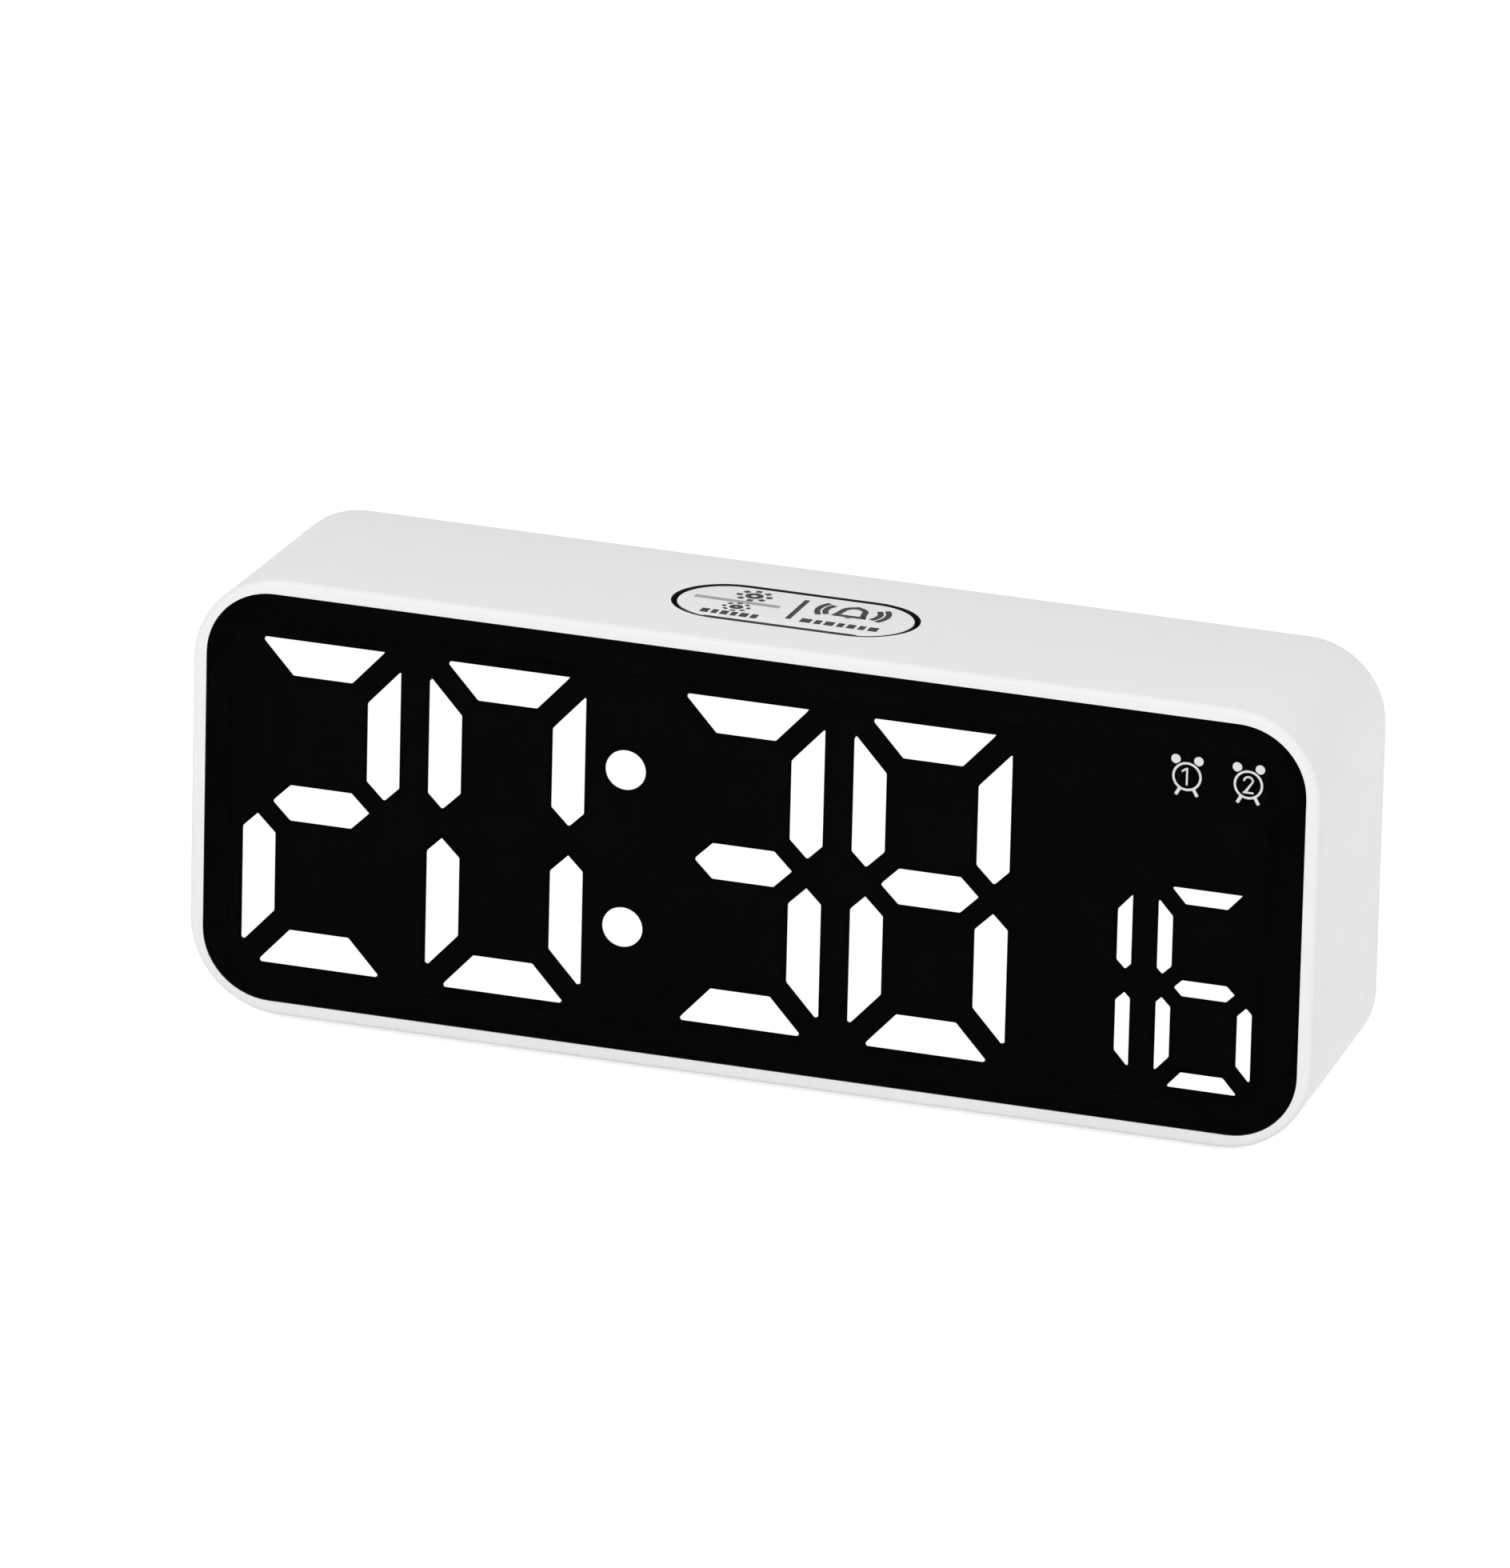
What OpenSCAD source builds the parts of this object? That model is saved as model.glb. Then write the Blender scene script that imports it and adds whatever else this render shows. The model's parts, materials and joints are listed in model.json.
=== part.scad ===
// Free-standing LED desk clock in a moulded white housing with a smoked front panel.
// The front faces -Y, +X is to the right seen from the front and +Z is up.
// The origin is on the table, under the middle of the clock.
// A depth is measured from the front face towards the back, and a rise from the
// middle of the front panel upwards.

/* [Housing] */
// Width across the front
body_w = 159; // [157:0.5:180]
// Height without the feet
body_h = 63; // [62:0.2:76]
// Depth from the front face to the back rim
body_d = 37; // [37:0.5:50]
// Corner radius at the front
corner_r = 12.8; // [11:0.1:15]
// How much smaller the corner radius is at the back
corner_fall = 1.6; // [0:0.1:2]
// How far each side leans in towards the back
side_draft = 1.4; // [0.5:0.1:2.5]
// How far the top falls towards the back
top_fall = 2.3; // [1:0.1:3.5]
// Radius of the front edge
front_round = 0.8; // [0.5:0.1:2]
// Radius of the back edge
back_round = 1; // [0.4:0.1:1.6]
// Thickness of the walls
wall = 2.2; // [1.8:0.1:2.5]
// Thickness of the ledge that carries the front panel
ledge_t = 1.6; // [1:0.1:2.4]

/* [Front panel] */
// Width of the white rim beside the panel
rim_w = 2.1; // [2:0.1:3]
// Height of the white rim above and below the panel
rim_h = 2.1; // [2:0.1:3]
// Corner radius of the panel
panel_r = 9.5; // [7:0.1:11]
// Thickness of the panel
panel_t = 1.5; // [1:0.1:2.5]
// Gap between the panel's edge and the housing
panel_gap = 0.1; // [0.05:0.01:0.2]
// Radius of the panel's front edge
panel_soft = 0.2; // [0.1:0.05:0.5]
// Thickness of the adhesive tape behind the panel
tape_t = 0.2; // [0.1:0.05:0.5]

/* [Display] */
// Time shown, as four digits
shown_time = 2038; // [0:1:2359]
// Two digits shown small at the right
shown_small = 16; // [0:1:99]
// Space above and below the large digits, between them and the panel's edge
row_frame = 5.8; // [5:0.05:8]
// Height of a large digit's level bars
bar_h = 5.15; // [4:0.05:6]
// Width of a large digit's upright bars
bar_w = 4.65; // [3.5:0.05:5.5]
// Gap between the bars of a large digit
bar_gap = 3.35; // [1:0.05:3.5]
// Gap between the bars at the waist of a large digit
waist_gap = 2.95; // [1:0.05:3.5]
// How far the waist point of a large digit is in from its edge
waist = 2.1; // [1.5:0.1:2.8]
// Gap between the two digits of a pair
pair_gap = 4.1; // [3.5:0.05:4.2]
// Space for the colon between the pairs
colon_space = 11.55; // [9:0.05:12]
// Radius of a colon dot
dot_r = 2.85; // [1.5:0.05:3.5]
// How far each colon dot is above or below the middle
dot_rise = 11.35; // [6:0.05:14]
// Space between the panel's left edge and the first digit
row_margin = 4.85; // [4.6:0.05:8]
// Space between the last digit and the panel's right edge
row_end_margin = 7; // [4.6:0.05:8]
// How far the digits' middle is above the panel's middle
row_rise = -1.05; // [-1.2:0.05:0]
// Space between the large digits and the small ones
small_space = 3.9; // [3:0.05:4]
// Width of a small digit
small_w = 13.45; // [11:0.05:14]
// Height of a small digit
small_h = 28.8; // [22:0.1:30]
// How far the feet of the small digits are above those of the large ones
small_lift = 0.2; // [0:0.05:1]
// Height of a small digit's level bars
small_bar_h = 2.3; // [1.8:0.05:3]
// Width of a small digit's upright bars
small_bar_w = 2.05; // [1.6:0.05:2.8]
// Gap between the bars of a small digit
small_bar_gap = 2.6; // [1:0.1:3]
// Gap between the bars at the waist of a small digit
small_waist_gap = 2.35; // [1:0.05:3]
// How far the waist point of a small digit is in from its edge
small_waist = 0.8; // [0.6:0.05:1.4]
// Gap between the two small digits
small_pair_gap = 3.6; // [2.5:0.1:3.8]
// Corner radius of a large digit's bars
bar_corner = 0.3; // [0.1:0.05:0.7]
// Corner radius of a small digit's bars
small_bar_corner = 0.15; // [0.05:0.05:0.3]
// Radius of an alarm mark's ring
mark_r = 2.05; // [1.4:0.05:2.1]
// Line width of an alarm mark
mark_line = 0.32; // [0.3:0.02:0.6]
// Distance between the two alarm marks
mark_pitch = 8.55; // [7:0.05:10]
// How far the second alarm mark is in from the right end of the digits
mark_inset = 1.5; // [1.3:0.05:3]
// How far the middle of the alarm marks is below the top of the large digits
mark_fall = 1.9; // [1.9:0.05:8]
// Depth of the block that keeps the light of each bar apart
block_t = 6.5; // [5:0.1:8]
// Border of the block round the digits
block_border = 1.4; // [1.3:0.05:1.5]
// Thickness of the light diffusers
diffuser_t = 1; // [0.6:0.1:2]
// Width of a well at the board, as a share of its width at the front
well_taper = 0.8; // [0.7:0.05:1]
// Thickness of the circuit boards
board_t = 1.2; // [0.8:0.1:1.6]

/* [Rocker key] */
// Width of the oval opening in the top
rocker_w = 34.6; // [30:0.1:40]
// Front to back size of the oval opening
rocker_d = 16.4; // [14:0.1:17]
// Gap between the key and the opening
rocker_gap = 0.75; // [0.45:0.05:0.8]
// Place of the key across the clock
rocker_x = 0.4; // [-5:0.1:5]
// Depth of the key's middle
rocker_depth = 17.2; // [16.6:0.1:18]
// Thickness of the key's cap
rocker_t = 1.6; // [1.2:0.1:2]
// Radius of the steel pivot pin
rocker_pin_r = 1; // [0.8:0.05:1.2]
// How far the pivot is under the top face
rocker_pin_drop = 3.5; // [3.3:0.1:4]
// Largest tilt of the key each way, in degrees
rocker_tilt = 1.3; // [0.8:0.1:1.6]
// Distance of each switch from the pivot
rocker_switch_x = 11; // [9:0.1:12]

/* [Back cover] */
// Thickness of the back cover
cover_t = 2.4; // [2.2:0.1:3]
// How far the cover sits inside the back rim
cover_inset = 1; // [0.9:0.1:2]
// Gap between the cover and the housing
cover_gap = 0.15; // [0.1:0.05:0.3]
// Radius of the screw posts
post_r = 2.5; // [2.1:0.1:2.8]
// Distance of the upper and lower screws from the panel's middle
post_rise = 17; // [12:0.5:19]

/* [Rear keys] */
// Width of a rear key
key_w = 8.4; // [7:0.1:9]
// Height of a rear key
key_h = 5; // [4:0.1:6]
// How far the rear keys are below the cover's top edge
key_drop = 15.5; // [14:0.1:17]
// Space between the rear fittings and the screw posts beside them
side_clear = 2.4; // [1:0.1:3]
// Gap round each rear key
key_gap = 0.3; // [0.25:0.05:0.5]
// How far a rear key moves in
key_travel = 0.4; // [0.2:0.05:0.5]
// How far a rear key stands out of the cover
key_proud = 0.8; // [0.5:0.1:0.85]
// Radius of the outer edge of the keys
key_soft = 0.35; // [0.2:0.05:0.5]

/* [Battery bay] */
// Radius of a cell
cell_r = 5.15; // [5.05:0.05:5.25]
// Length of a cell with its contact nub
cell_l = 44.3; // [44:0.1:44.5]
// Space between neighbouring cells
cell_space = 0.6; // [0.3:0.1:0.8]
// Length left for a contact spring
spring_l = 4.8; // [4.4:0.1:5.2]
// Radius of the spring wire
spring_wire_r = 0.35; // [0.25:0.01:0.4]
// Turns of a contact spring
spring_turns = 3.5; // [2.5:0.5:3.5]
// How far the bay's middle is below the cover's middle
bay_drop = 1.5; // [0:0.5:3]
// Thickness of the bay's walls
bay_wall = 1.4; // [1.2:0.1:1.8]
// How far the door reaches past the bay on each side
door_lap = 2; // [1.8:0.1:2.6]
// Thickness of the door
door_t = 1.9; // [1.6:0.1:2.1]
// Gap round the door
door_gap = 0.25; // [0.25:0.05:0.4]
// Radius of the door's hinge bead
bead_r = 1.2; // [1.1:0.05:1.25]
// Radius of the door's hinge pins
door_pin_r = 0.7; // [0.5:0.05:0.75]

/* [Feet] */
// How far the feet stand out under the housing
foot_h = 0.8; // [0.5:0.1:2]
// Radius of a foot
foot_r = 4; // [3:0.1:5]
// Distance of the feet from the left and right sides
foot_inset = 20; // [18:0.5:40]
// Depth of the front feet
foot_front = 9; // [8:0.5:11]
// Distance of the rear feet from the back rim
foot_back = 8; // [7:0.5:10]

/* [Hidden] */
$fn = 48;

// Colours as the photograph shows them
white_plastic = "#f2f2f2";
smoked_black = "#0b0b0c";
lit_white = "#ffffff";
board_green = "#1f5a3a";
steel_grey = "#b9bcc0";
chip_black = "#202022";
key_white = "#ececec";
rubber_grey = "#5a5a5c";

// Small clearances and overlaps
cut = 0.5;
press_gap = 0.02;
run_gap = 0.05;
stack_gap = 0.2;
fine = 0.01;
corner_steps = 16;
soft_steps = 3;

// Places that follow from the sizes above
front_y = -body_d / 2;
axis_z = foot_h + body_h / 2;
panel_w = body_w - 2 * rim_w;
panel_h = body_h - 2 * rim_h;
ledge_front = panel_t + tape_t;
ledge_back = ledge_front + ledge_t;
block_front = ledge_front + stack_gap;
block_back = block_front + block_t;
board_back = block_back + board_t;
post_clear = 0.8;
lug_t = 2;
lug_back = board_back + lug_t;
post_front = board_back + post_clear;
cover_back = body_d - cover_inset;
cover_front = cover_back - cover_t;
top_lean = atan(top_fall / (body_d - front_round));

// Digit row, from left to right; the large digits take the room that the rest leaves
digit_h = panel_h - 2 * row_frame;
row_left = -panel_w / 2 + row_margin;
row_right = panel_w / 2 - row_end_margin;
digit_w = (row_right - row_left - 2 * pair_gap - colon_space - small_space
  - small_pair_gap - 2 * small_w) / 4;
digit_x = [
  row_left + digit_w / 2,
  row_left + digit_w * 1.5 + pair_gap,
  row_left + digit_w * 2.5 + pair_gap + colon_space,
  row_left + digit_w * 3.5 + 2 * pair_gap + colon_space
];
colon_x = (digit_x[1] + digit_x[2]) / 2;
large_right = digit_x[3] + digit_w / 2;
small_x = [
  large_right + small_space + small_w / 2,
  large_right + small_space + small_w * 1.5 + small_pair_gap
];
small_rise = row_rise - digit_h / 2 + small_lift + small_h / 2;
mark_rise = row_rise + digit_h / 2 - mark_fall;
mark_x = [row_right - mark_inset - mark_pitch, row_right - mark_inset];
block_w = row_right - row_left + 2 * block_border;
block_h = digit_h + 2 * block_border;
block_x = (row_left + row_right) / 2;
block_corner = 2.5;
window_gap = 0.3;
tape_inset = 0.2;

// Display screws, in the gaps between the digits
display_screw_x = [(digit_x[0] + digit_x[1]) / 2, large_right + small_space / 2];
display_screw_inset = 1.5;
display_screw_rise = digit_h / 2 - display_screw_inset;
small_screw_r = 0.75;
small_head_r = 1.5;
small_head_h = 1;
small_screw_bite = 3.6;
screw_clear = 0.2;
tip_room = 0.4;
slot_w = 0.5;
slot_depth = 0.6;
lug_w = 6;
lug_edge = 0.7;

// Sizes of a set of bars: width, height, level bar, upright bar, gap, gap at the waist,
// waist, corner
large_bars = [digit_w, digit_h, bar_h, bar_w, bar_gap, waist_gap, waist, bar_corner];
small_bars = [
  small_w, small_h, small_bar_h, small_bar_w, small_bar_gap, small_waist_gap, small_waist,
  small_bar_corner
];
BARS = "abcdefg";
// The bars that each figure from 0 to 9 lights
FIGURES = [
  "abcdef", "bc", "abdeg", "abcdg", "bcfg", "acdfg", "acdefg", "abc", "abcdefg", "abcdfg"
];
well_gap = 0.03;
well_shoulder = 0.3;
film_t = 0.15;
film_w = 5.3;
film_h = 6.4;
film_corner = 1.8;
mark_drop = 0.3;
mark_well_w = 4.6;
mark_well_h = 5.6;
mark_well_corner = 1.2;
bell_r = 0.66;
bell_out = 0.8;
bell_gap = 0.2;
bell_turn = 34;
leg_l = 1.35;
leg_w = 0.45;
leg_turn = 29;
figure_h = 2.5;
figure_w = 1.5;
figure_line = 0.26;
flag_drop = 0.45;
slant_w = 0.45;
led_l = 1.6;
led_w = 0.8;
led_h = 0.6;

// Rocker key, in the frame of the sloping top face
ear_t = 1.6;
ear_w = 5;
ear_gap = 0.7;
ear_under_pin = 1.1;
ear_drop = rocker_pin_drop + rocker_pin_r + ear_under_pin;
hanger_t = 1.6;
hanger_inset = 1.1;
hanger_y = rocker_d / 2 - rocker_gap - hanger_inset - hanger_t / 2;
switch_stroke = rocker_switch_x * sin(rocker_tilt);
plunger_r = 1.5;
plunger_under_pin = 1.6;
plunger_drop = rocker_pin_drop + plunger_under_pin;
plunger_gap = 0.12;
switch_top = plunger_drop + switch_stroke + plunger_gap;
switch_stem_h = 0.5;
switch_stem_r = 1.2;
switch_w = 5;
switch_h = 1.6;
rocker_board_top = switch_top + switch_stem_h + switch_h;
rocker_boss_r = 2.2;
rocker_boss_gap = 0.8;
rocker_boss_x = rocker_w / 2 + rocker_boss_r + rocker_boss_gap;
rocker_board_edge = 0.6;
rocker_board_w = 2 * (rocker_boss_x + rocker_boss_r + rocker_board_edge);
rocker_board_d = 9;

// Back cover and its screws
post_inset = 3.4;
post_x = half_at(body_d) - wall - post_inset;
cover_w = 2 * (half_at(body_d) - wall - cover_gap);
cover_h = top_at(body_d) - 2 * (wall + cover_gap);
cover_r = radius_at(body_d) - wall - cover_gap;
cover_rise = -top_fall / 2;
cover_screw_r = 1;
cover_head_r = 1.9;
cover_head_h = 1.2;
cover_screw_bite = 8;
cover_screw_tip = cover_front - cover_screw_bite;
web_t = 2;

// Battery bay, stacked in from the door
plate_t = 0.4;
plate_w = 8;
cell_gap = 0.05;
cell_lift = 0.2;
cell_pitch = 2 * cell_r + cell_space;
bay_w = cell_l + spring_l + 2 * plate_t + 2 * cell_gap;
bay_h = 2 * cell_pitch + 2 * (cell_r + cell_space);
door_w = bay_w + 2 * door_lap;
door_h = bay_h + 2 * door_lap;
door_r = 2;
door_seat = 0.1;
door_front = cover_back - door_t;
recess_front = door_front - door_seat;
cell_depth = recess_front - 2 * cell_lift - cell_r;
bay_front = cell_depth - cell_r - cell_lift;
rim_t = 1.8;
rim_lap = 2.4;
ridge_w = 3.2;
ridge_h = 1.8;
bay_x = -post_x + post_r + side_clear + rim_lap + door_w / 2;
bay_rise = cover_rise - bay_drop;
hinge_depth = cover_back - bead_r;
hinge_rise = bay_rise + door_h / 2 - bead_r;
door_pin_l = 1.5;
nub_r = 1.9;
nub_l = 0.8;
spring_big_r = 3.8;
spring_small_r = 2.6;
spring_steps = 20;
spring_sides = 6;
spring_run = spring_l - 2 * spring_wire_r;
spring_count = spring_turns * spring_steps;
lead_r = 0.6;
lead_gap = 0.1;
lead_bend = 1.2;
bend_steps = 6;
wire_sides = 8;

// Door latch: a springy tongue with grip ribs, and a notch for a fingertip in the cover
tongue_w = 12;
tongue_slot_w = 1;
tongue_slot_l = 8;
tongue_slot_inset = 2;
grip_r = 0.35;
grip_w = 6;
grip_pitch = 1.4;
grip_inset = 2.5;
notch_r = 4.5;
notch_depth = 0.9;

// Control board, behind the rear keys and between the bay and the screw posts
key_switch_w = 6;
key_switch_h = 3.5;
key_stem_r = 1.75;
key_stem_h = 0.5;
flange_t = 1;
flange_lap = 1.2;
key_post_r = 1.3;
key_stop_gap = 0.15;
key_rest_gap = key_travel + key_stop_gap;
key_stem_l = 0.75;
control_back = cover_front - key_gap - flange_t - key_stem_l - key_rest_gap
  - key_stem_h - key_switch_h;
control_front = control_back - board_t;
boss_r = 2.4;
boss_gap = 0.6;
control_edge = 3.2;
control_left = bay_x + door_w / 2 + rim_lap + side_clear;
control_right = post_x - post_r - side_clear;
control_w = control_right - control_left;
control_x = (control_left + control_right) / 2;
boss_x = [control_left + control_edge, control_right - control_edge];
first_key = boss_x[0] + boss_r + boss_gap + flange_lap + key_w / 2;
last_key = boss_x[1] - boss_r - boss_gap - flange_lap - key_w / 2;
key_x = [for (i = [0:3]) first_key + (last_key - first_key) * i / 3];
key_rise = cover_rise + cover_h / 2 - key_drop;
board_over_keys = 4;
board_under_keys = 31;
boss_rise = [key_rise + board_over_keys, key_rise - board_under_keys];
control_h = boss_rise[0] - boss_rise[1] + 2 * control_edge;
control_rise = (boss_rise[0] + boss_rise[1]) / 2;
chip_w = 7;
chip_t = 1.2;
chip_inset = 16;
driver_w = 10;
driver_h = 6;
driver_t = 1.4;

// Flat leads, from the display board and from the rocker's board to the control board
lead_t = 0.6;
lead_steps = 12;
lead_stub = 0.8;
display_lead_rise = -12;
display_lead_bow = 4;
display_lead_x = control_x;
display_lead_w = 10;
rocker_lead_w = 4;
rocker_lead_x = control_left + control_edge + boss_r + rocker_lead_w;
rocker_lead_end = control_rise + control_h / 4;

// Power socket and buzzer
socket_w = 9;
socket_drop = 22;
socket_x = key_x[3] - socket_w / 4;
socket_rise = key_rise - socket_drop;
socket_h = 3.3;
socket_wall = 0.3;
socket_gap = 0.4;
socket_base_t = 1.5;
socket_recess = 0.5;
tongue_side = 1.25;
socket_tongue_t = 0.7;
socket_tongue_inset = 0.8;
buzzer_drop = 20;
buzzer_x = key_x[1];
buzzer_rise = key_rise - buzzer_drop;
buzzer_r = 6.5;
buzzer_h = 5;
buzzer_port_r = 1;
buzzer_port_l = 1.5;
sound_hole_r = 0.6;
sound_pitch = 2.4;

// Feet
foot_x = body_w / 2 - foot_inset;
foot_seat = 0.4;
foot_gap = 0.1;
foot_soft = 0.3;

// Share of the housing's lean that is reached at a depth
function lean_at(depth) = max(0, depth - front_round) / (body_d - front_round);
function half_at(depth) = body_w / 2 - side_draft * lean_at(depth);
function top_at(depth) = body_h - top_fall * lean_at(depth);
function radius_at(depth) = corner_r - corner_fall * lean_at(depth);

// Rectangle with round corners, counter-clockwise
function rounded_outline(w, h, r) = [
  for (k = [0:3], i = [0:corner_steps])
    let (
      a = 90 * (k + i / corner_steps),
      side = k == 0 || k == 3 ? 1 : -1,
      top = k < 2 ? 1 : -1
    )
      [side * (w / 2 - r) + r * cos(a), top * (h / 2 - r) + r * sin(a)]
];

// Oval with straight long sides, counter-clockwise
function stadium_outline(w, h) = [
  for (side = [1, -1], i = [0:2 * corner_steps])
    let (a = 90 * i / corner_steps - 90 * side)
      [side * (w - h) / 2 + h / 2 * cos(a), h / 2 * sin(a)]
];

// Outline of the housing at a depth, moved in by an inset
function ring(depth, inset) =
  let (high = foot_h + top_at(depth) - inset, low = foot_h + inset)
  [
    for (p = rounded_outline(2 * (half_at(depth) - inset), high - low, radius_at(depth) - inset))
      [p[0], front_y + depth, (high + low) / 2 + p[1]]
  ];

// Unit vector from one point to another
function towards(from, to) = (to - from) / norm(to - from);

// A convex outline with each corner rounded
function softened(points, r) =
  let (n = len(points))
  [
    for (i = [0:n - 1])
      let (
        a = towards(points[i], points[(i + n - 1) % n]),
        b = towards(points[i], points[(i + 1) % n]),
        half = acos(a * b) / 2,
        centre = points[i] + (a + b) / norm(a + b) * r / sin(half)
      )
      for (k = [0:soft_steps])
        let (way = (a * (soft_steps - k) + b * k) / soft_steps * r / tan(half))
          centre + r * towards(centre - points[i], way)
  ];

// A convex outline drawn in by a distance on every side
function drawn_in(points, distance) =
  let (
    n = len(points),
    centre = middle(points),
    turn = sign(cross(points[0] - centre, points[1] - centre))
  )
  [
    for (i = [0:n - 1])
      let (
        before = towards(points[(i + n - 1) % n], points[i]),
        after = towards(points[i], points[(i + 1) % n]),
        normals = turn * ([-before[1], before[0]] + [-after[1], after[0]])
      )
        points[i] + distance * normals / (1 + before * after)
  ];

// A path thickened to a closed strip outline
function strip(path, thickness) =
  let (
    n = len(path),
    sides = [
      for (i = [0:n - 1])
        let (d = towards(path[max(0, i - 1)], path[min(n - 1, i + 1)]))
          [-d[1], d[0]] * thickness / 2
    ]
  )
  concat(
    [for (i = [0:n - 1]) path[i] + sides[i]],
    [for (i = [n - 1:-1:0]) path[i] - sides[i]]
  );

// Outline of one bar of a figure, about the figure's middle
function bar_outline(bar, sizes) =
  let (
    hw = sizes[0] / 2,
    hh = sizes[1] / 2,
    level = sizes[2],
    upright = sizes[3],
    gap = sizes[4] / 2,
    knee = sizes[6],
    lean = atan2(level, upright),
    along = gap / sin(lean),
    down = gap / cos(lean),
    tip = sizes[5] / sqrt(2),
    top_bar = [
      [-hw + along, hh], [hw - along, hh],
      [hw - upright - along, hh - level], [-hw + upright + along, hh - level]
    ],
    side_bar = [
      [hw, hh - down], [hw, tip + knee], [hw - knee, tip],
      [hw - upright, tip + upright - knee], [hw - upright, hh - level - down]
    ],
    reach = hw - knee - tip,
    middle_bar = [
      [-reach, 0], [-reach + level / 2, level / 2], [reach - level / 2, level / 2],
      [reach, 0], [reach - level / 2, -level / 2], [-reach + level / 2, -level / 2]
    ]
  )
  bar == "a" ? top_bar :
  bar == "b" ? side_bar :
  bar == "c" ? [for (p = side_bar) [p[0], -p[1]]] :
  bar == "d" ? [for (p = top_bar) [p[0], -p[1]]] :
  bar == "e" ? [for (p = side_bar) [-p[0], -p[1]]] :
  bar == "f" ? [for (p = side_bar) [-p[0], p[1]]] :
  middle_bar;

// Middle of a list of points
function middle(points) =
  let (ones = [for (p = points) 1]) (ones * points) / len(points);

function is_lit(bar, figure) = len(search(bar, FIGURES[figure])) > 0;
function time_figure(place) = floor(shown_time / pow(10, 3 - place)) % 10;
function small_figure(place) = floor(shown_small / pow(10, 1 - place)) % 10;

// Solid between rings of equal length, from front to back
module loft(rings) {
  n = len(rings[0]);
  last = len(rings) - 1;
  sides = [
    for (k = [0:last - 1], i = [0:n - 1])
      let (a = k * n + i, b = k * n + (i + 1) % n)
        each [[a, b, b + n], [a, b + n, a + n]]
  ];
  polyhedron(
    points = [for (r = rings) each r],
    faces = concat(
      [[for (i = [n - 1:-1:0]) i]],
      sides,
      [[for (i = [0:n - 1]) last * n + i]]
    )
  );
}

// Plate on an outline, with its upper edge rounded
module soft_plate(outline, thickness, soft) {
  levels = concat(
    [for (a = [90:-30:0]) [thickness - soft * (1 - sin(a)), soft * (1 - cos(a))]],
    [[0, 0]]
  );
  loft([for (level = levels) [for (p = drawn_in(outline, level[1])) [p[0], p[1], level[0]]]]);
}

// Turns a plate to face the front, with its foot at a depth
module facing_front(depth) {
  translate([0, front_y + depth, axis_z])
    rotate([90, 0, 0])
      children();
}

// Turns a plate to face the back, with its foot at a depth
module facing_back(depth) {
  translate([0, front_y + depth, axis_z])
    rotate([90, 0, 180])
      children();
}

// An outline drawn in X and rise, made solid between two depths
module slab(front, back) {
  translate([0, front_y + back, axis_z])
    rotate([90, 0, 0])
      linear_extrude(back - front)
        children();
}

// Places its children on the sloping top face, in the middle of the rocker key
module on_top() {
  translate([rocker_x, front_y + rocker_depth, foot_h + top_at(rocker_depth)])
    rotate([-top_lean, 0, 0])
      children();
}

module rounded_rect(w, h, r) {
  square([w - 2 * r, h], center = true);
  square([w, h - 2 * r], center = true);
  for (x = [-1, 1], y = [-1, 1])
    translate([x * (w / 2 - r), y * (h / 2 - r)])
      circle(r);
}

// Oval with straight long sides
module stadium(w, h) {
  square([w - h, h], center = true);
  for (x = [-1, 1])
    translate([x * (w - h) / 2, 0])
      circle(h / 2);
}

// Round shaft along the depth
module shaft(x, rise, r, front, back) {
  slab(front, back)
    translate([x, rise])
      circle(r);
}

// Places its children at each display screw
module at_display_screws() {
  for (x = display_screw_x, side = [-1, 1])
    translate([x, 0, row_rise + side * display_screw_rise])
      children();
}

// Places its children at each screw of the back cover
module at_cover_screws() {
  for (x = [-post_x, post_x], rise = [-post_rise, post_rise])
    translate([x, 0, rise])
      children();
}

// Places its children at each screw of the control board
module at_board_screws() {
  for (x = boss_x, rise = boss_rise)
    translate([x, 0, rise])
      children();
}

// Places its children at each screw of the rocker's board, on the board's top
module at_rocker_screws() {
  on_top()
    for (x = [-rocker_boss_x, rocker_boss_x])
      translate([x, 0, -rocker_board_top])
        children();
}

// Places its children at each foot, on the table
module at_feet() {
  for (x = [-foot_x, foot_x], depth = [foot_front, body_d - foot_back])
    translate([x, front_y + depth, 0])
      children();
}

// Screw along the depth: its head sits on the seat and its shank ends at the tip
module screw(seat, tip, head_r, head_h, shank_r) {
  toward_back = sign(seat - tip);
  head_end = seat + toward_back * head_h;
  slot_floor = head_end - toward_back * slot_depth;
  slot_end = head_end + toward_back * cut;
  difference() {
    union() {
      shaft(0, 0, head_r, min(seat, head_end), max(seat, head_end));
      shaft(0, 0, shank_r, min(seat, tip), max(seat, tip));
    }
    slab(min(slot_floor, slot_end), max(slot_floor, slot_end))
      cross_slot(2 * head_r - slot_w);
  }
}

module cross_slot(w) {
  square([w, slot_w], center = true);
  square([slot_w, w], center = true);
}

// Housing
module outer_shape() {
  loft(concat(
    [for (a = [0:15:90]) ring(front_round * (1 - cos(a)), front_round * (1 - sin(a)))],
    [for (a = [0:30:90]) ring(body_d - back_round * (1 - sin(a)), back_round * (1 - cos(a)))]
  ));
}

// Opening in the ledge that the light block shows through
module window(front, back) {
  slab(front, back)
    translate([block_x, row_rise])
      rounded_rect(block_w + 2 * window_gap, block_h + 2 * window_gap, block_corner);
}

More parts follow.
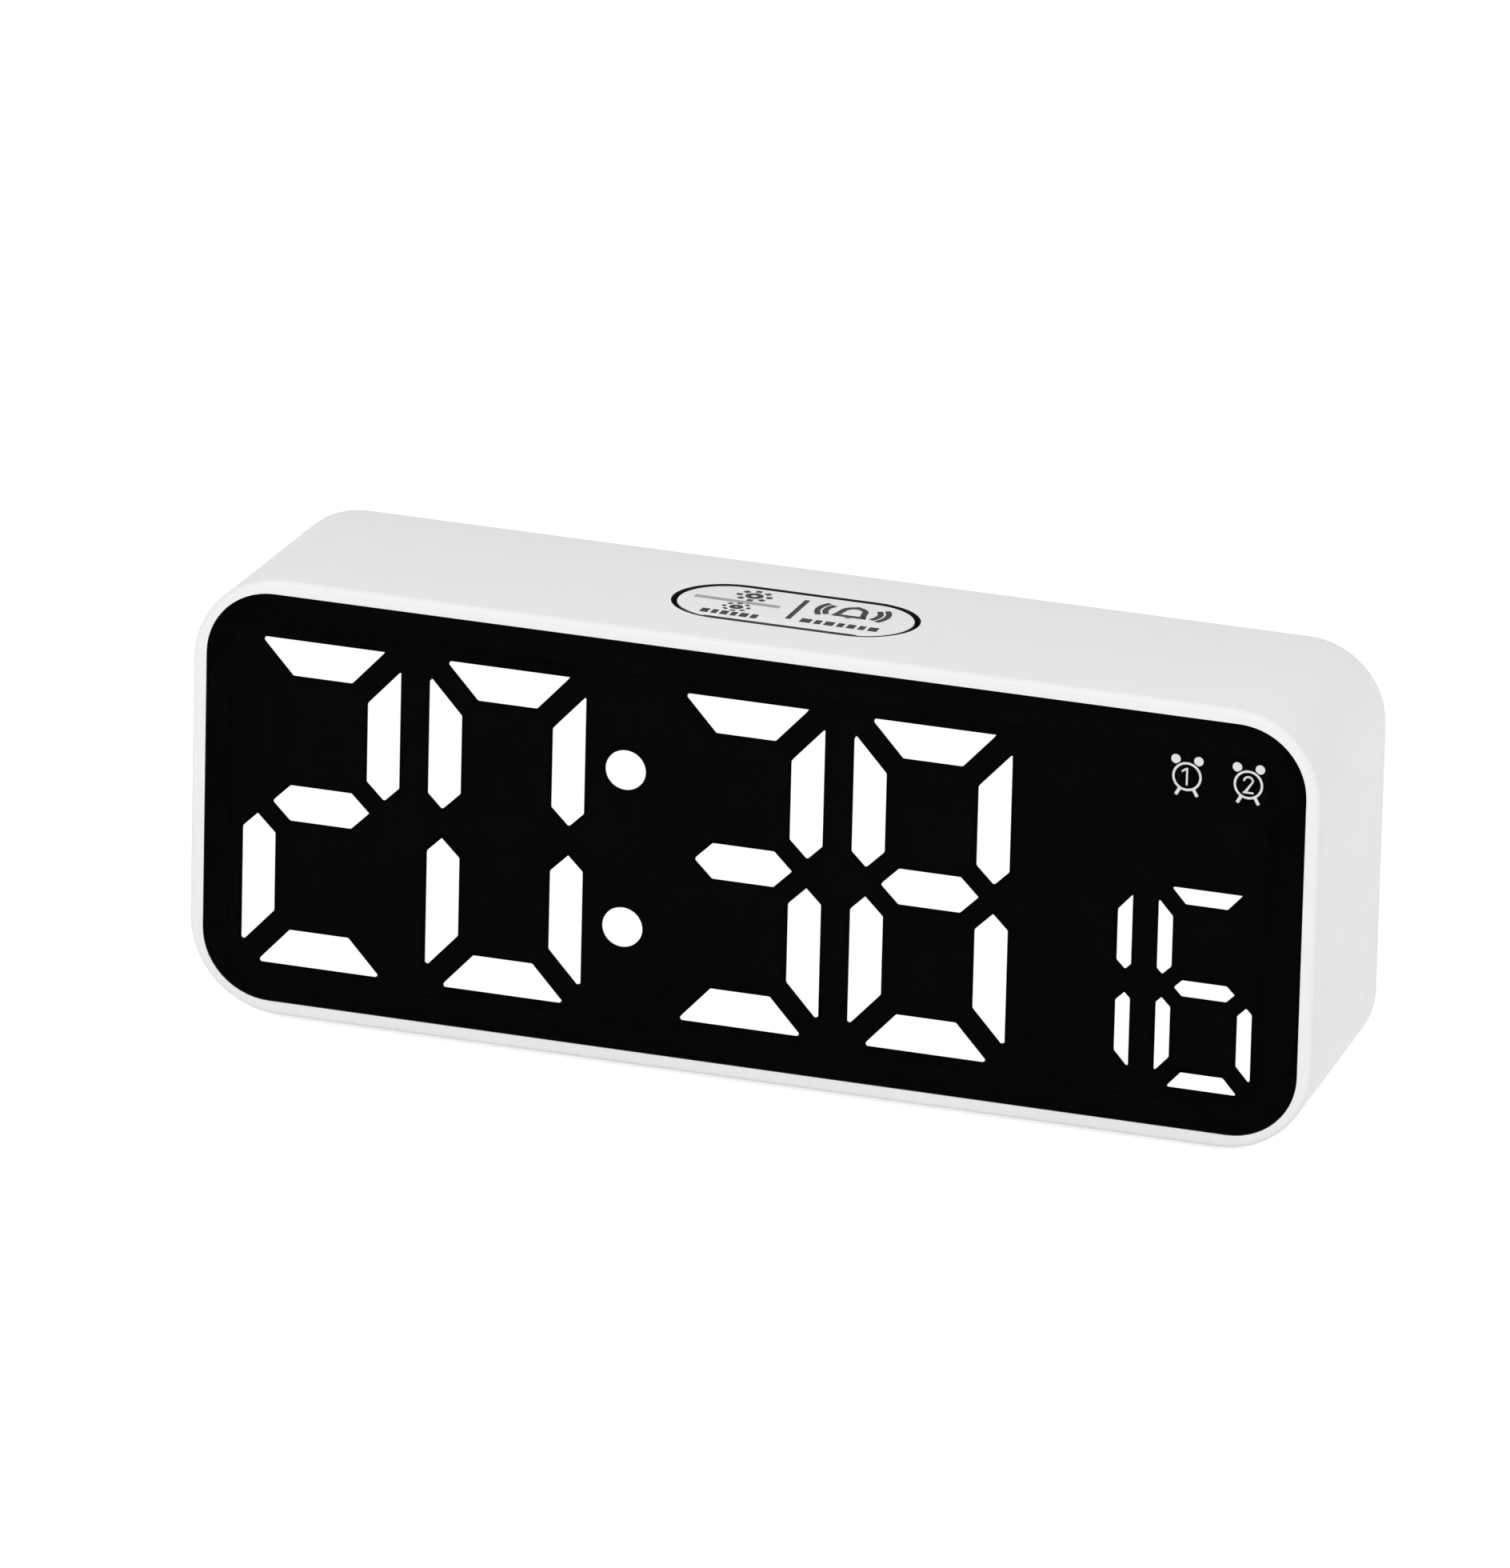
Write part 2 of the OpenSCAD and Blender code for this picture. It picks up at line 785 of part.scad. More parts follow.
module screw_posts() {
  web_end = half_at(body_d) - wall / 2;
  at_cover_screws()
    shaft(0, 0, post_r, post_front, cover_front);
  for (x = [-1, 1], rise = [-post_rise, post_rise])
    slab(post_front, cover_front)
      translate([x * (post_x + web_end) / 2, rise])
        square([web_end - post_x, web_t], center = true);
}

// Lugs from the top and bottom walls that the display board is screwed to
module display_lugs() {
  low = display_screw_rise - small_head_r - lug_edge;
  top_end = top_at(lug_back) - wall / 2 - body_h / 2;
  bottom_end = body_h / 2 - wall / 2;
  for (x = display_screw_x)
    slab(board_back, lug_back) {
      translate([x - lug_w / 2, row_rise + low])
        square([lug_w, top_end - row_rise - low]);
      translate([x - lug_w / 2, -bottom_end])
        square([lug_w, bottom_end + row_rise - low]);
    }
}

// Ears for the rocker's pin and bosses for its board, under the top face
module rocker_mount() {
  on_top() {
    for (y = [-1, 1])
      translate([-ear_w / 2, y * (rocker_d / 2 + ear_gap + ear_t / 2) - ear_t / 2, -ear_drop])
        cube([ear_w, ear_t, ear_drop - wall / 2]);
  }
  at_rocker_screws()
    cylinder(r = rocker_boss_r, h = rocker_board_top - wall / 2);
}

module housing() {
  color(white_plastic)
    difference() {
      union() {
        difference() {
          outer_shape();
          slab(-cut, ledge_front)
            rounded_rect(panel_w + 2 * panel_gap, panel_h + 2 * panel_gap, panel_r + panel_gap);
          window(ledge_front - cut, ledge_back + cut);
          loft([ring(ledge_back, wall), ring(body_d + cut, wall)]);
          on_top()
            translate([0, 0, -wall - cut])
              linear_extrude(wall + 2 * cut)
                stadium(rocker_w, rocker_d);
          at_feet()
            translate([0, 0, foot_h - cut])
              cylinder(r = foot_r + foot_gap, h = foot_seat + cut);
        }
        screw_posts();
        display_lugs();
        rocker_mount();
      }
      at_cover_screws()
        shaft(0, 0, cover_screw_r + press_gap, cover_screw_tip - tip_room, cover_front + cut);
      at_display_screws()
        shaft(0, 0, small_screw_r + screw_clear, board_back - cut, lug_back + cut);
      rocker_bore(rocker_pin_r + press_gap);
      at_rocker_screws()
        translate([0, 0, -cut])
          cylinder(r = small_screw_r + press_gap, h = small_screw_bite + tip_room + cut);
    }
}

// Front panel and its tape
module front_panel() {
  color(smoked_black)
    facing_front(panel_t)
      soft_plate(rounded_outline(panel_w, panel_h, panel_r), panel_t, panel_soft);
}

// Tape between the panel and the ledge, out to the window
module panel_tape() {
  color("black")
    difference() {
      slab(panel_t, ledge_front)
        rounded_rect(panel_w - 2 * tape_inset, panel_h - 2 * tape_inset, panel_r - tape_inset);
      window(panel_t - cut, ledge_front + cut);
    }
}

// Display
// Well of one bar: a straight seat for the diffuser, and behind its shoulder a funnel that
// narrows towards the board
module bar_well(bar, sizes) {
  points = bar_outline(bar, sizes);
  mouth = drawn_in(points, well_shoulder);
  centre = middle(mouth);
  slab(block_front - cut, block_front + diffuser_t)
    polygon(points);
  translate([centre[0], front_y + block_back + cut, axis_z + centre[1]])
    rotate([90, 0, 0])
      linear_extrude(block_t - diffuser_t + 2 * cut, scale = 1 / well_taper)
        polygon([for (p = mouth) (p - centre) * well_taper]);
}

module light_block() {
  color(chip_black)
    difference() {
      slab(block_front, block_back)
        translate([block_x, row_rise])
          rounded_rect(block_w, block_h, block_corner - window_gap);
      for (x = digit_x, i = [0:6])
        translate([x, 0, row_rise])
          bar_well(BARS[i], large_bars);
      for (x = small_x, i = [0:6])
        translate([x, 0, small_rise])
          bar_well(BARS[i], small_bars);
      for (side = [-1, 1])
        shaft(colon_x, row_rise + side * dot_rise, dot_r, block_front - cut, block_back + cut);
      for (x = mark_x)
        slab(block_front - cut, block_back + cut)
          translate([x, mark_rise])
            rounded_rect(mark_well_w, mark_well_h, mark_well_corner);
      at_display_screws()
        shaft(0, 0, small_screw_r + press_gap, block_back - small_screw_bite - tip_room, block_back + cut);
    }
}

// The bars of one figure that are lit, or those that aren't
module figure_bars(x, rise, sizes, figure, lit) {
  for (i = [0:6])
    if (is_lit(BARS[i], figure) == lit)
      slab(block_front, block_front + diffuser_t)
        translate([x, rise])
          diffuser_outline(BARS[i], sizes);
}

// Outline of a diffuser, a little smaller than its well
module diffuser_outline(bar, sizes) {
  polygon(softened(drawn_in(bar_outline(bar, sizes), well_gap), sizes[7]));
}

module large_digit(place) {
  color(lit_white)
    figure_bars(digit_x[place], row_rise, large_bars, time_figure(place), true);
}

module hour_tens_digit() large_digit(0);
module hour_units_digit() large_digit(1);
module minute_tens_digit() large_digit(2);
module minute_units_digit() large_digit(3);

module small_digits() {
  color(lit_white)
    for (place = [0, 1])
      figure_bars(small_x[place], small_rise, small_bars, small_figure(place), true);
}

module unlit_segments() {
  color(chip_black) {
    for (place = [0:3])
      figure_bars(digit_x[place], row_rise, large_bars, time_figure(place), false);
    for (place = [0, 1])
      figure_bars(small_x[place], small_rise, small_bars, small_figure(place), false);
  }
}

module colon_dots() {
  color(lit_white)
    for (side = [-1, 1])
      shaft(colon_x, row_rise + side * dot_rise, dot_r - well_gap, block_front, block_front + diffuser_t);
}

// Alarm clock mark with two bells, two feet and a number
module mark_outline(number) {
  difference() {
    union() {
      circle(mark_r);
      for (side = [-1, 1])
        rotate(180 + side * leg_turn)
          translate([-leg_w / 2, mark_r - mark_line])
            square([leg_w, leg_l]);
    }
    circle(mark_r - mark_line);
  }
  difference() {
    for (side = [-1, 1])
      rotate(side * bell_turn)
        translate([0, mark_r + bell_out])
          circle(bell_r);
    circle(mark_r + bell_gap);
  }
  if (number == 1)
    figure_one();
  else
    figure_two();
}

module figure_one() {
  top = figure_h / 2;
  translate([-figure_line / 2, -top])
    square([figure_line, figure_h]);
  polygon([
    [-figure_line / 2, top], [-figure_w / 2, top - flag_drop],
    [-figure_w / 2, top - flag_drop - figure_line], [0, top - figure_line]
  ]);
}

module figure_two() {
  low = -figure_h / 2;
  bend = figure_h / 2 - figure_w / 2;
  translate([-figure_w / 2, low])
    square([figure_w, figure_line]);
  polygon([
    [-figure_w / 2, low], [-figure_w / 2 + slant_w, low],
    [figure_w / 2, bend], [figure_w / 2 - figure_line, bend]
  ]);
  translate([0, bend])
    difference() {
      circle(figure_w / 2);
      circle(figure_w / 2 - figure_line);
      translate([-figure_w, -figure_w])
        square([2 * figure_w, figure_w]);
    }
}

module mark_film() {
  color(smoked_black)
    difference() {
      slab(block_front - film_t, block_front)
        translate([(mark_x[0] + mark_x[1]) / 2, mark_rise])
          rounded_rect(mark_pitch + film_w, film_h, film_corner);
      for (i = [0, 1])
        slab(block_front - film_t - cut, block_front + cut)
          translate([mark_x[i], mark_rise - mark_drop])
            mark_outline(i + 1);
    }
}

module alarm_marks() {
  color(lit_white)
    for (i = [0, 1])
      slab(block_front - film_t, block_front)
        translate([mark_x[i], mark_rise - mark_drop])
          mark_outline(i + 1);
}

module display_board() {
  color(board_green)
    difference() {
      slab(block_back, board_back)
        translate([block_x, row_rise])
          rounded_rect(block_w, block_h, block_corner - window_gap);
      at_display_screws()
        shaft(0, 0, small_screw_r + screw_clear, block_back - cut, board_back + cut);
    }
}

// One light-emitting chip in the middle of each well
module led_chip(x, rise, upright) {
  slab(block_back - led_h, block_back)
    translate([x, rise])
      square(upright ? [led_w, led_l] : [led_l, led_w], center = true);
}

module figure_chips(x, rise, sizes) {
  for (i = [0:6]) {
    centre = middle(bar_outline(BARS[i], sizes));
    led_chip(x + centre[0], rise + centre[1], i != 0 && i != 3 && i != 6);
  }
}

module led_chips() {
  color("#fff3a0") {
    for (x = digit_x)
      figure_chips(x, row_rise, large_bars);
    for (x = small_x)
      figure_chips(x, small_rise, small_bars);
    for (side = [-1, 1])
      led_chip(colon_x, row_rise + side * dot_rise, false);
    for (x = mark_x)
      led_chip(x, mark_rise, false);
  }
}

module driver_chip() {
  color(chip_black)
    slab(board_back, board_back + driver_t)
      translate([colon_x, 0])
        square([driver_w, driver_h], center = true);
}

module display_screws() {
  color(steel_grey)
    at_display_screws()
      screw(lug_back, block_back - small_screw_bite, small_head_r, small_head_h, small_screw_r);
}

// Flat lead along a path in depth and rise
module flat_lead(x, w, path) {
  translate([x - w / 2, front_y, axis_z])
    rotate([90, 0, 90])
      linear_extrude(w)
        polygon(strip(path, lead_t));
}

module display_lead() {
  start = board_back + lead_stub;
  reach = control_front - lead_stub - start;
  color("#d8d8d8")
    flat_lead(display_lead_x, display_lead_w, concat(
      [[board_back, display_lead_rise]],
      [
        for (i = [0:lead_steps])
          let (u = i / lead_steps)
            [start + reach * u, display_lead_rise + display_lead_bow * (1 - cos(360 * u)) / 2]
      ],
      [[control_front, display_lead_rise]]
    ));
}

// Leaves the rocker's board downwards and meets the control board from the front
module rocker_lead() {
  drop = rocker_board_top + board_t;
  start_depth = rocker_depth - drop * sin(top_lean);
  start_rise = top_at(rocker_depth) - drop * cos(top_lean) - body_h / 2 - run_gap;
  reach = control_front - lead_stub - start_depth;
  fall = start_rise - lead_stub - rocker_lead_end;
  color("#d8d8d8")
    flat_lead(rocker_lead_x, rocker_lead_w, concat(
      [[start_depth, start_rise]],
      [
        for (i = [0:lead_steps])
          let (a = 90 * i / lead_steps)
            [start_depth + reach * (1 - cos(a)), rocker_lead_end + fall * (1 - sin(a))]
      ],
      [[control_front, rocker_lead_end]]
    ));
}

// Rocker key
module rocker_key() {
  cap_w = rocker_w - 2 * rocker_gap;
  cap_d = rocker_d - 2 * rocker_gap;
  color(key_white)
    difference() {
      on_top() {
        translate([0, 0, -rocker_t])
          soft_plate(stadium_outline(cap_w, cap_d), rocker_t, key_soft);
        for (y = [-1, 1])
          translate([-ear_w / 2, y * hanger_y - hanger_t / 2, -ear_drop])
            cube([ear_w, hanger_t, ear_drop - rocker_t + fine]);
        for (x = [-1, 1])
          translate([x * rocker_switch_x, 0, -plunger_drop])
            cylinder(r = plunger_r, h = plunger_drop - rocker_t + fine);
      }
      rocker_bore(rocker_pin_r + run_gap);
    }
}

// Everything on the rocker's axis within the ears' outer faces
module rocker_bore(r, past = cut) {
  bore_l = rocker_d + 2 * (ear_gap + ear_t + past);
  on_top()
    translate([0, bore_l / 2, -rocker_pin_drop])
      rotate([90, 0, 0])
        cylinder(r = r, h = bore_l);
}

module rocker_pin() {
  color(steel_grey)
    rocker_bore(rocker_pin_r, past = 0);
}

module rocker_board() {
  color(board_green)
    difference() {
      on_top()
        translate([0, 0, -rocker_board_top - board_t])
          linear_extrude(board_t)
            square([rocker_board_w, rocker_board_d], center = true);
      at_rocker_screws()
        translate([0, 0, -board_t - cut])
          cylinder(r = small_screw_r + screw_clear, h = board_t + 2 * cut);
    }
}

module rocker_switches() {
  color(chip_black)
    on_top()
      for (x = [-1, 1])
        translate([x * rocker_switch_x, 0, -rocker_board_top]) {
          translate([0, 0, switch_h / 2])
            cube([switch_w, switch_w, switch_h], center = true);
          cylinder(r = switch_stem_r, h = switch_h + switch_stem_h);
        }
}

module rocker_board_screws() {
  color(steel_grey)
    at_rocker_screws() {
      translate([0, 0, -board_t - small_head_h])
        cylinder(r = small_head_r, h = small_head_h);
      translate([0, 0, -board_t - fine])
        cylinder(r = small_screw_r, h = board_t + fine + small_screw_bite);
    }
}

// Back cover
module at_keys() {
  for (x = key_x)
    translate([x, 0, key_rise])
      children();
}

module door_outline(gap) {
  translate([bay_x, bay_rise])
    rounded_rect(door_w + 2 * gap, door_h + 2 * gap, door_r + gap);
}

module hinge_bore(r, past) {
  translate([bay_x - door_w / 2 - past, front_y + hinge_depth, axis_z + hinge_rise])
    rotate([0, 90, 0])
      cylinder(r = r, h = door_w + 2 * past);
}

// Ridges on the bay's floor that keep the cells apart, clear of the contacts at the ends
module cell_ridges() {
  ridge_l = cell_l - 2 * spring_l;
  for (side = [-1, 1])
    translate([bay_x - ridge_l / 2, front_y + bay_front, axis_z + bay_rise + side * cell_pitch / 2])
      rotate([90, 0, 90])
        linear_extrude(ridge_l)
          polygon([[-fine, -ridge_w / 2], [ridge_h, 0], [-fine, ridge_w / 2]]);
}

module back_cover() {
  color(white_plastic)
    difference() {
      union() {
        difference() {
          union() {
            slab(cover_front, cover_back)
              translate([0, cover_rise])
                rounded_rect(cover_w, cover_h, cover_r);
            slab(cover_front - rim_t, cover_front + fine)
              door_outline(rim_lap);
            slab(bay_front - bay_wall, cover_front)
              translate([bay_x, bay_rise])
                square([bay_w + 2 * bay_wall, bay_h + 2 * bay_wall], center = true);
            at_board_screws()
              shaft(0, 0, boss_r, control_back, cover_front + fine);
          }
          slab(bay_front, cover_back)
            translate([bay_x, bay_rise])
              square([bay_w, bay_h], center = true);
          slab(recess_front, cover_back + cut)
            door_outline(door_gap);
        }
        cell_ridges();
      }
      slab(hinge_depth - bead_r - door_gap, cover_back + cut)
        translate([bay_x, hinge_rise])
          square([door_w + 2 * door_gap, 2 * (bead_r + door_gap)], center = true);
      hinge_bore(door_pin_r + run_gap, door_gap + door_pin_l);
      shaft(bay_x, bay_rise - door_h / 2 - door_gap, notch_r, cover_back - notch_depth, cover_back + cut);
      at_keys()
        slab(cover_front - cut, cover_back + cut)
          stadium(key_w + 2 * key_gap, key_h + 2 * key_gap);
      at_cover_screws() {
        shaft(0, 0, cover_screw_r + screw_clear, cover_front - cut, cover_back + cut);
        shaft(0, 0, cover_head_r + screw_clear, cover_back - cover_head_h, cover_back + cut);
      }
      at_board_screws()
        shaft(0, 0, small_screw_r + press_gap, control_back - cut,
              control_back + small_screw_bite + tip_room);
      slab(cover_front - cut, cover_back + cut)
        translate([socket_x, socket_rise])
          stadium(socket_w + 2 * socket_gap, socket_h + 2 * socket_gap);
      for (i = [0:6])
        shaft(buzzer_x + (i == 0 ? 0 : sound_pitch * cos(60 * i)),
              buzzer_rise + (i == 0 ? 0 : sound_pitch * sin(60 * i)),
              sound_hole_r, cover_front - cut, cover_back + cut);
      for (side = [-1, 1])
        translate([bay_x + side * (bay_w + bay_wall) / 2, front_y + cell_depth,
                   axis_z + bay_rise + side * cell_pitch])
          rotate([0, 90, 0])
            cylinder(r = lead_r + lead_gap, h = bay_wall + 2 * cut, center = true);
    }
}

module cover_screws() {
  color(steel_grey)
    at_cover_screws()
      screw(cover_back - cover_head_h, cover_screw_tip, cover_head_r, cover_head_h, cover_screw_r);
}

// Rear keys: a cap, a flange that keeps it in and a stem for its switch
module rear_key(place) {
  flange_back = cover_front - key_gap;
  flange_front = flange_back - flange_t;
  color(key_white)
    translate([key_x[place], 0, key_rise]) {
      facing_back(flange_back - fine)
        soft_plate(stadium_outline(key_w, key_h), cover_back + key_proud - flange_back + fine, key_soft);
      slab(flange_front, flange_back)
        stadium(key_w + 2 * flange_lap, key_h + 2 * flange_lap);
      shaft(0, 0, key_post_r, flange_front - key_stem_l, flange_front + fine);
    }
}

module set_key() rear_key(3);
module alarm_key() rear_key(2);
module up_key() rear_key(1);
module down_key() rear_key(0);

module control_board() {
  color(board_green)
    difference() {
      slab(control_front, control_back)
        translate([control_x, control_rise])
          square([control_w, control_h], center = true);
      at_board_screws()
        shaft(0, 0, small_screw_r + screw_clear, control_front - cut, control_back + cut);
    }
}

module control_chip() {
  color(chip_black)
    slab(control_front - chip_t, control_front)
      translate([boss_x[0] + chip_inset, control_rise + chip_w])
        square(chip_w, center = true);
}

module key_switches() {
  color(chip_black)
    at_keys() {
      slab(control_back, control_back + key_switch_h)
        square(key_switch_w, center = true);
      shaft(0, 0, key_stem_r, control_back, control_back + key_switch_h + key_stem_h);
    }
}

// Upright shell with a base on the board and a tongue inside
module power_socket() {
  mouth = cover_back - socket_recess;
  base_back = control_back + socket_base_t;
  color(steel_grey)
    translate([socket_x, 0, socket_rise]) {
      slab(control_back, base_back)
        stadium(socket_w, socket_h);
      slab(base_back - fine, mouth)
        difference() {
          stadium(socket_w, socket_h);
          stadium(socket_w - 2 * socket_wall, socket_h - 2 * socket_wall);
        }
      slab(base_back - fine, mouth - socket_tongue_inset)
        square([socket_w - 2 * tongue_side, socket_tongue_t], center = true);
    }
}

module buzzer() {
  top = control_back + buzzer_h;
  color(chip_black)
    difference() {
      shaft(buzzer_x, buzzer_rise, buzzer_r, control_back, top);
      shaft(buzzer_x, buzzer_rise, buzzer_port_r, top - buzzer_port_l, top + cut);
    }
}

module control_board_screws() {
  color(steel_grey)
    at_board_screws()
      screw(control_front, control_back + small_screw_bite, small_head_r, small_head_h, small_screw_r);
}

// Battery door: a plate with a round hinge edge, two pins and a latch tongue
module battery_door() {
  door_low = bay_rise - door_h / 2;
  color(white_plastic) {
    difference() {
      slab(door_front, cover_back)
        door_outline(0);
      slab(door_front - cut, cover_back + cut) {
        translate([bay_x - door_w, hinge_rise])
          square([2 * door_w, door_h]);
        for (side = [-1, 1])
          translate([bay_x + (side * tongue_w - tongue_slot_w) / 2, door_low + tongue_slot_inset])
            square([tongue_slot_w, tongue_slot_l]);
      }
      for (i = [0:3])
        translate([bay_x, front_y + cover_back, axis_z + door_low + grip_inset + grip_pitch * i])
          rotate([0, 90, 0])
            cylinder(r = grip_r, h = grip_w, center = true);
    }
    hinge_bead();
    hinge_bore(door_pin_r, door_pin_l);
  }
}

module hinge_bead() {
  translate([bay_x - door_w / 2, front_y + hinge_depth, axis_z + hinge_rise])
    rotate([0, 90, 0])
      cylinder(r = bead_r, h = door_w);
}

// Cells in series, the middle one the other way round
function cell_turn(row) = row == 0 ? -1 : 1;

module cell_frame(row) {
  translate([bay_x, front_y + cell_depth, axis_z + bay_rise + row * cell_pitch])
    mirror([cell_turn(row) < 0 ? 1 : 0, 0, 0])
      children();
}

module battery_cells() {
  tip = bay_w / 2 - plate_t - cell_gap;
  for (row = [-1:1])
    cell_frame(row) {
      color("#c9ccd0")
        translate([tip - cell_l, 0, 0])
          rotate([0, 90, 0])
            cylinder(r = cell_r, h = cell_l - nub_l);
      color(steel_grey)
        translate([tip - nub_l - fine, 0, 0])
          rotate([0, 90, 0])
            cylinder(r = nub_r, h = nub_l + fine);
    }
}

// One end of the bay has a bridge over rows 0 and 1, the other over rows -1 and 0
module contact_plates() {
  color(steel_grey)
    for (side = [-1, 1]) {
      contact_plate(side, [-side * cell_pitch / 2, cell_pitch + plate_w]);
      contact_plate(side, [side * cell_pitch, plate_w]);
    }
}

// A plate at one end of the bay, given its rise and height
module contact_plate(side, place) {
  translate([bay_x + side * (bay_w - plate_t) / 2, front_y + cell_depth, axis_z + bay_rise + place[0]])
    cube([plate_t, plate_w, place[1]], center = true);
}

// Conical contact spring, its axis along X, wide at the plate
function spring_point(i) =
  let (
    u = i / spring_count,
    a = 360 * spring_turns * u,
    r = spring_big_r + (spring_small_r - spring_big_r) * u
  )
  [spring_wire_r + spring_run * u, r * cos(a), r * sin(a)];

function spring_ring(i) =
  let (a = 360 * spring_turns * i / spring_count, p = spring_point(i))
  [
    for (k = [0:spring_sides - 1])
      let (b = 360 * k / spring_sides)
        p + spring_wire_r * [sin(b), cos(b) * cos(a), cos(b) * sin(a)]
  ];

// Least space between turns, measured between points at least half a turn apart
spring_space = min([
  for (i = [0:spring_count], j = [i + spring_steps / 2:spring_count])
    norm(spring_point(i) - spring_point(j))
]) - 2 * spring_wire_r;
echo(spring_space = spring_space);

module contact_springs() {
  color(steel_grey)
    for (row = [-1:1])
      cell_frame(row)
        translate([-bay_w / 2 + plate_t + cell_gap / 2, 0, 0])
          loft([for (i = [0:spring_count]) spring_ring(i)]);
}

// Corners of a path rounded by arcs of one radius, where each corner is square
function bent(path, bend) = [
  path[0],
  for (i = [1:len(path) - 2])
    let (
      before = towards(path[i], path[i - 1]),
      after = towards(path[i], path[i + 1]),
      centre = path[i] + bend * (before + after)
    )
    for (k = [0:bend_steps])
      let (a = 90 * k / bend_steps)
        centre - bend * (after * cos(a) + before * sin(a)),
  path[len(path) - 1]
];

// Round wire along a path in X and depth
module wire(path, rise, r) {
  n = len(path);
  translate([0, front_y, axis_z + rise])
    loft([
      for (i = [0:n - 1])
        let (
          d = towards(path[max(0, i - 1)], path[min(n - 1, i + 1)]),
          side = [d[1], -d[0], 0]
        )
        [
          for (k = [0:wire_sides - 1])
            let (b = 360 * k / wire_sides)
              [path[i][0], path[i][1], 0] + r * (side * cos(b) + [0, 0, sin(b)])
        ]
    ]);
}

// Leads from the two end contacts of the row of cells to the control board
module battery_leads() {
  near_x = bay_x + bay_w / 2;
  far_x = bay_x - bay_w / 2;
  board_x = control_left + 2 * lead_r;
  turn_x = far_x - bay_wall - plate_t - lead_bend;
  run_depth = bay_front - bay_wall - lead_r - stack_gap;
  color("#b03030")
    wire(bent([[near_x, cell_depth], [board_x, cell_depth], [board_x, control_back]], lead_bend),
         bay_rise + cell_pitch, lead_r);
  color("#282828")
    wire(bent([
      [far_x, cell_depth], [turn_x, cell_depth], [turn_x, run_depth],
      [board_x, run_depth], [board_x, control_front]
    ], lead_bend), bay_rise - cell_pitch, lead_r);
}

module feet() {
  color(rubber_grey)
    at_feet()
      rotate_extrude()
        polygon([
          [0, 0], [foot_r - foot_soft, 0], [foot_r, foot_soft], [foot_r, foot_h + foot_seat],
          [0, foot_h + foot_seat]
        ]);
}

housing();
front_panel();
panel_tape();
light_block();
mark_film();
hour_tens_digit();
hour_units_digit();
colon_dots();
minute_tens_digit();
minute_units_digit();
small_digits();
alarm_marks();
unlit_segments();
display_board();
led_chips();
driver_chip();
display_screws();
display_lead();
rocker_key();
rocker_pin();
rocker_board();
rocker_switches();
rocker_board_screws();
rocker_lead();
back_cover();
cover_screws();
set_key();
alarm_key();
up_key();
down_key();
control_board();
control_chip();
key_switches();
power_socket();
buzzer();
control_board_screws();
battery_door();
battery_cells();
contact_plates();
contact_springs();
battery_leads();
feet();
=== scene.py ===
import json
from math import cos, hypot, pi, radians, sin

import bmesh
import bpy
from mathutils import Matrix, Vector


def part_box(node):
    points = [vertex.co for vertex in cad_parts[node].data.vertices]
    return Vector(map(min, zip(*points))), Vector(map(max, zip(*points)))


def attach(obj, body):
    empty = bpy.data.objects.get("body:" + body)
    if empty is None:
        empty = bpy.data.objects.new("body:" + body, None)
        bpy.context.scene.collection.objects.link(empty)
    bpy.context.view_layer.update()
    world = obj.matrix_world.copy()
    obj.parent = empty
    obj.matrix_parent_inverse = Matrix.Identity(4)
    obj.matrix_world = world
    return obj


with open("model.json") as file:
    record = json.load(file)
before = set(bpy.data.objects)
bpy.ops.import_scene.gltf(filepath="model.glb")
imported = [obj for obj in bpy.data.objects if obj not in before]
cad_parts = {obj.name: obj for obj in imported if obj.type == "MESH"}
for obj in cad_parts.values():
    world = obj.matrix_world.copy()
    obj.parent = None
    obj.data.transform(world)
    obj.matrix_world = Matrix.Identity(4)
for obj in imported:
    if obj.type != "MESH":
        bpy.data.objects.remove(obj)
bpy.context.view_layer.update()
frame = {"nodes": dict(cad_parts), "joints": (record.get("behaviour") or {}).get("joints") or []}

MM = 0.001
nodes = frame["nodes"]
scene = bpy.context.scene


# Top key: it lies in the sloping top, so its marks and masks are placed in a frame of its own

CAP_DEPTH = 1.5 * MM


class TopFrame:
    """The sloping frame of the rocker key's face: across, depth and up from its middle."""

    def __init__(self):
        joint = next(j for j in frame["joints"] if j["name"] == "rocker_tilt")
        self.across = Vector((1, 0, 0))
        self.depth = Vector(joint["axis"]).normalized()
        self.up = self.across.cross(self.depth)
        pin = Vector(joint["pos_m"])
        points = [v.co - pin for v in nodes["rocker_key"].data.vertices]
        rise = max(p.dot(self.up) for p in points)
        cap = [p for p in points if p.dot(self.up) > rise - CAP_DEPTH]
        self.half_x = max(abs(p.dot(self.across)) for p in cap)
        self.half_y = max(abs(p.dot(self.depth)) for p in cap)
        self.middle = pin + self.up * rise
        turn = Matrix((self.across, self.depth, self.up)).transposed().to_4x4()
        self.matrix = Matrix.Translation(self.middle) @ turn


top_frame = TopFrame()


# Camera: fitted to the outline of the housing and of the panel in the photograph. The fit
# counts lengths in UNIT, and CAM_SCALE is how many pixels one UNIT takes at the panel.

IMAGE_W, IMAGE_H = 1888, 1960
SENSOR = 36.0
CLIP_NEAR, CLIP_FAR = 0.1, 20
UNIT = 58.826 * MM
CAM_SIDE = radians(17.2796)
CAM_DOWN = radians(21.0298)
CAM_ROLL = radians(1.3992)
CAM_DISTANCE = 47.4076
CAM_SCALE = 546.9138
CAM_CENTRE = (936.3, 1080.0)


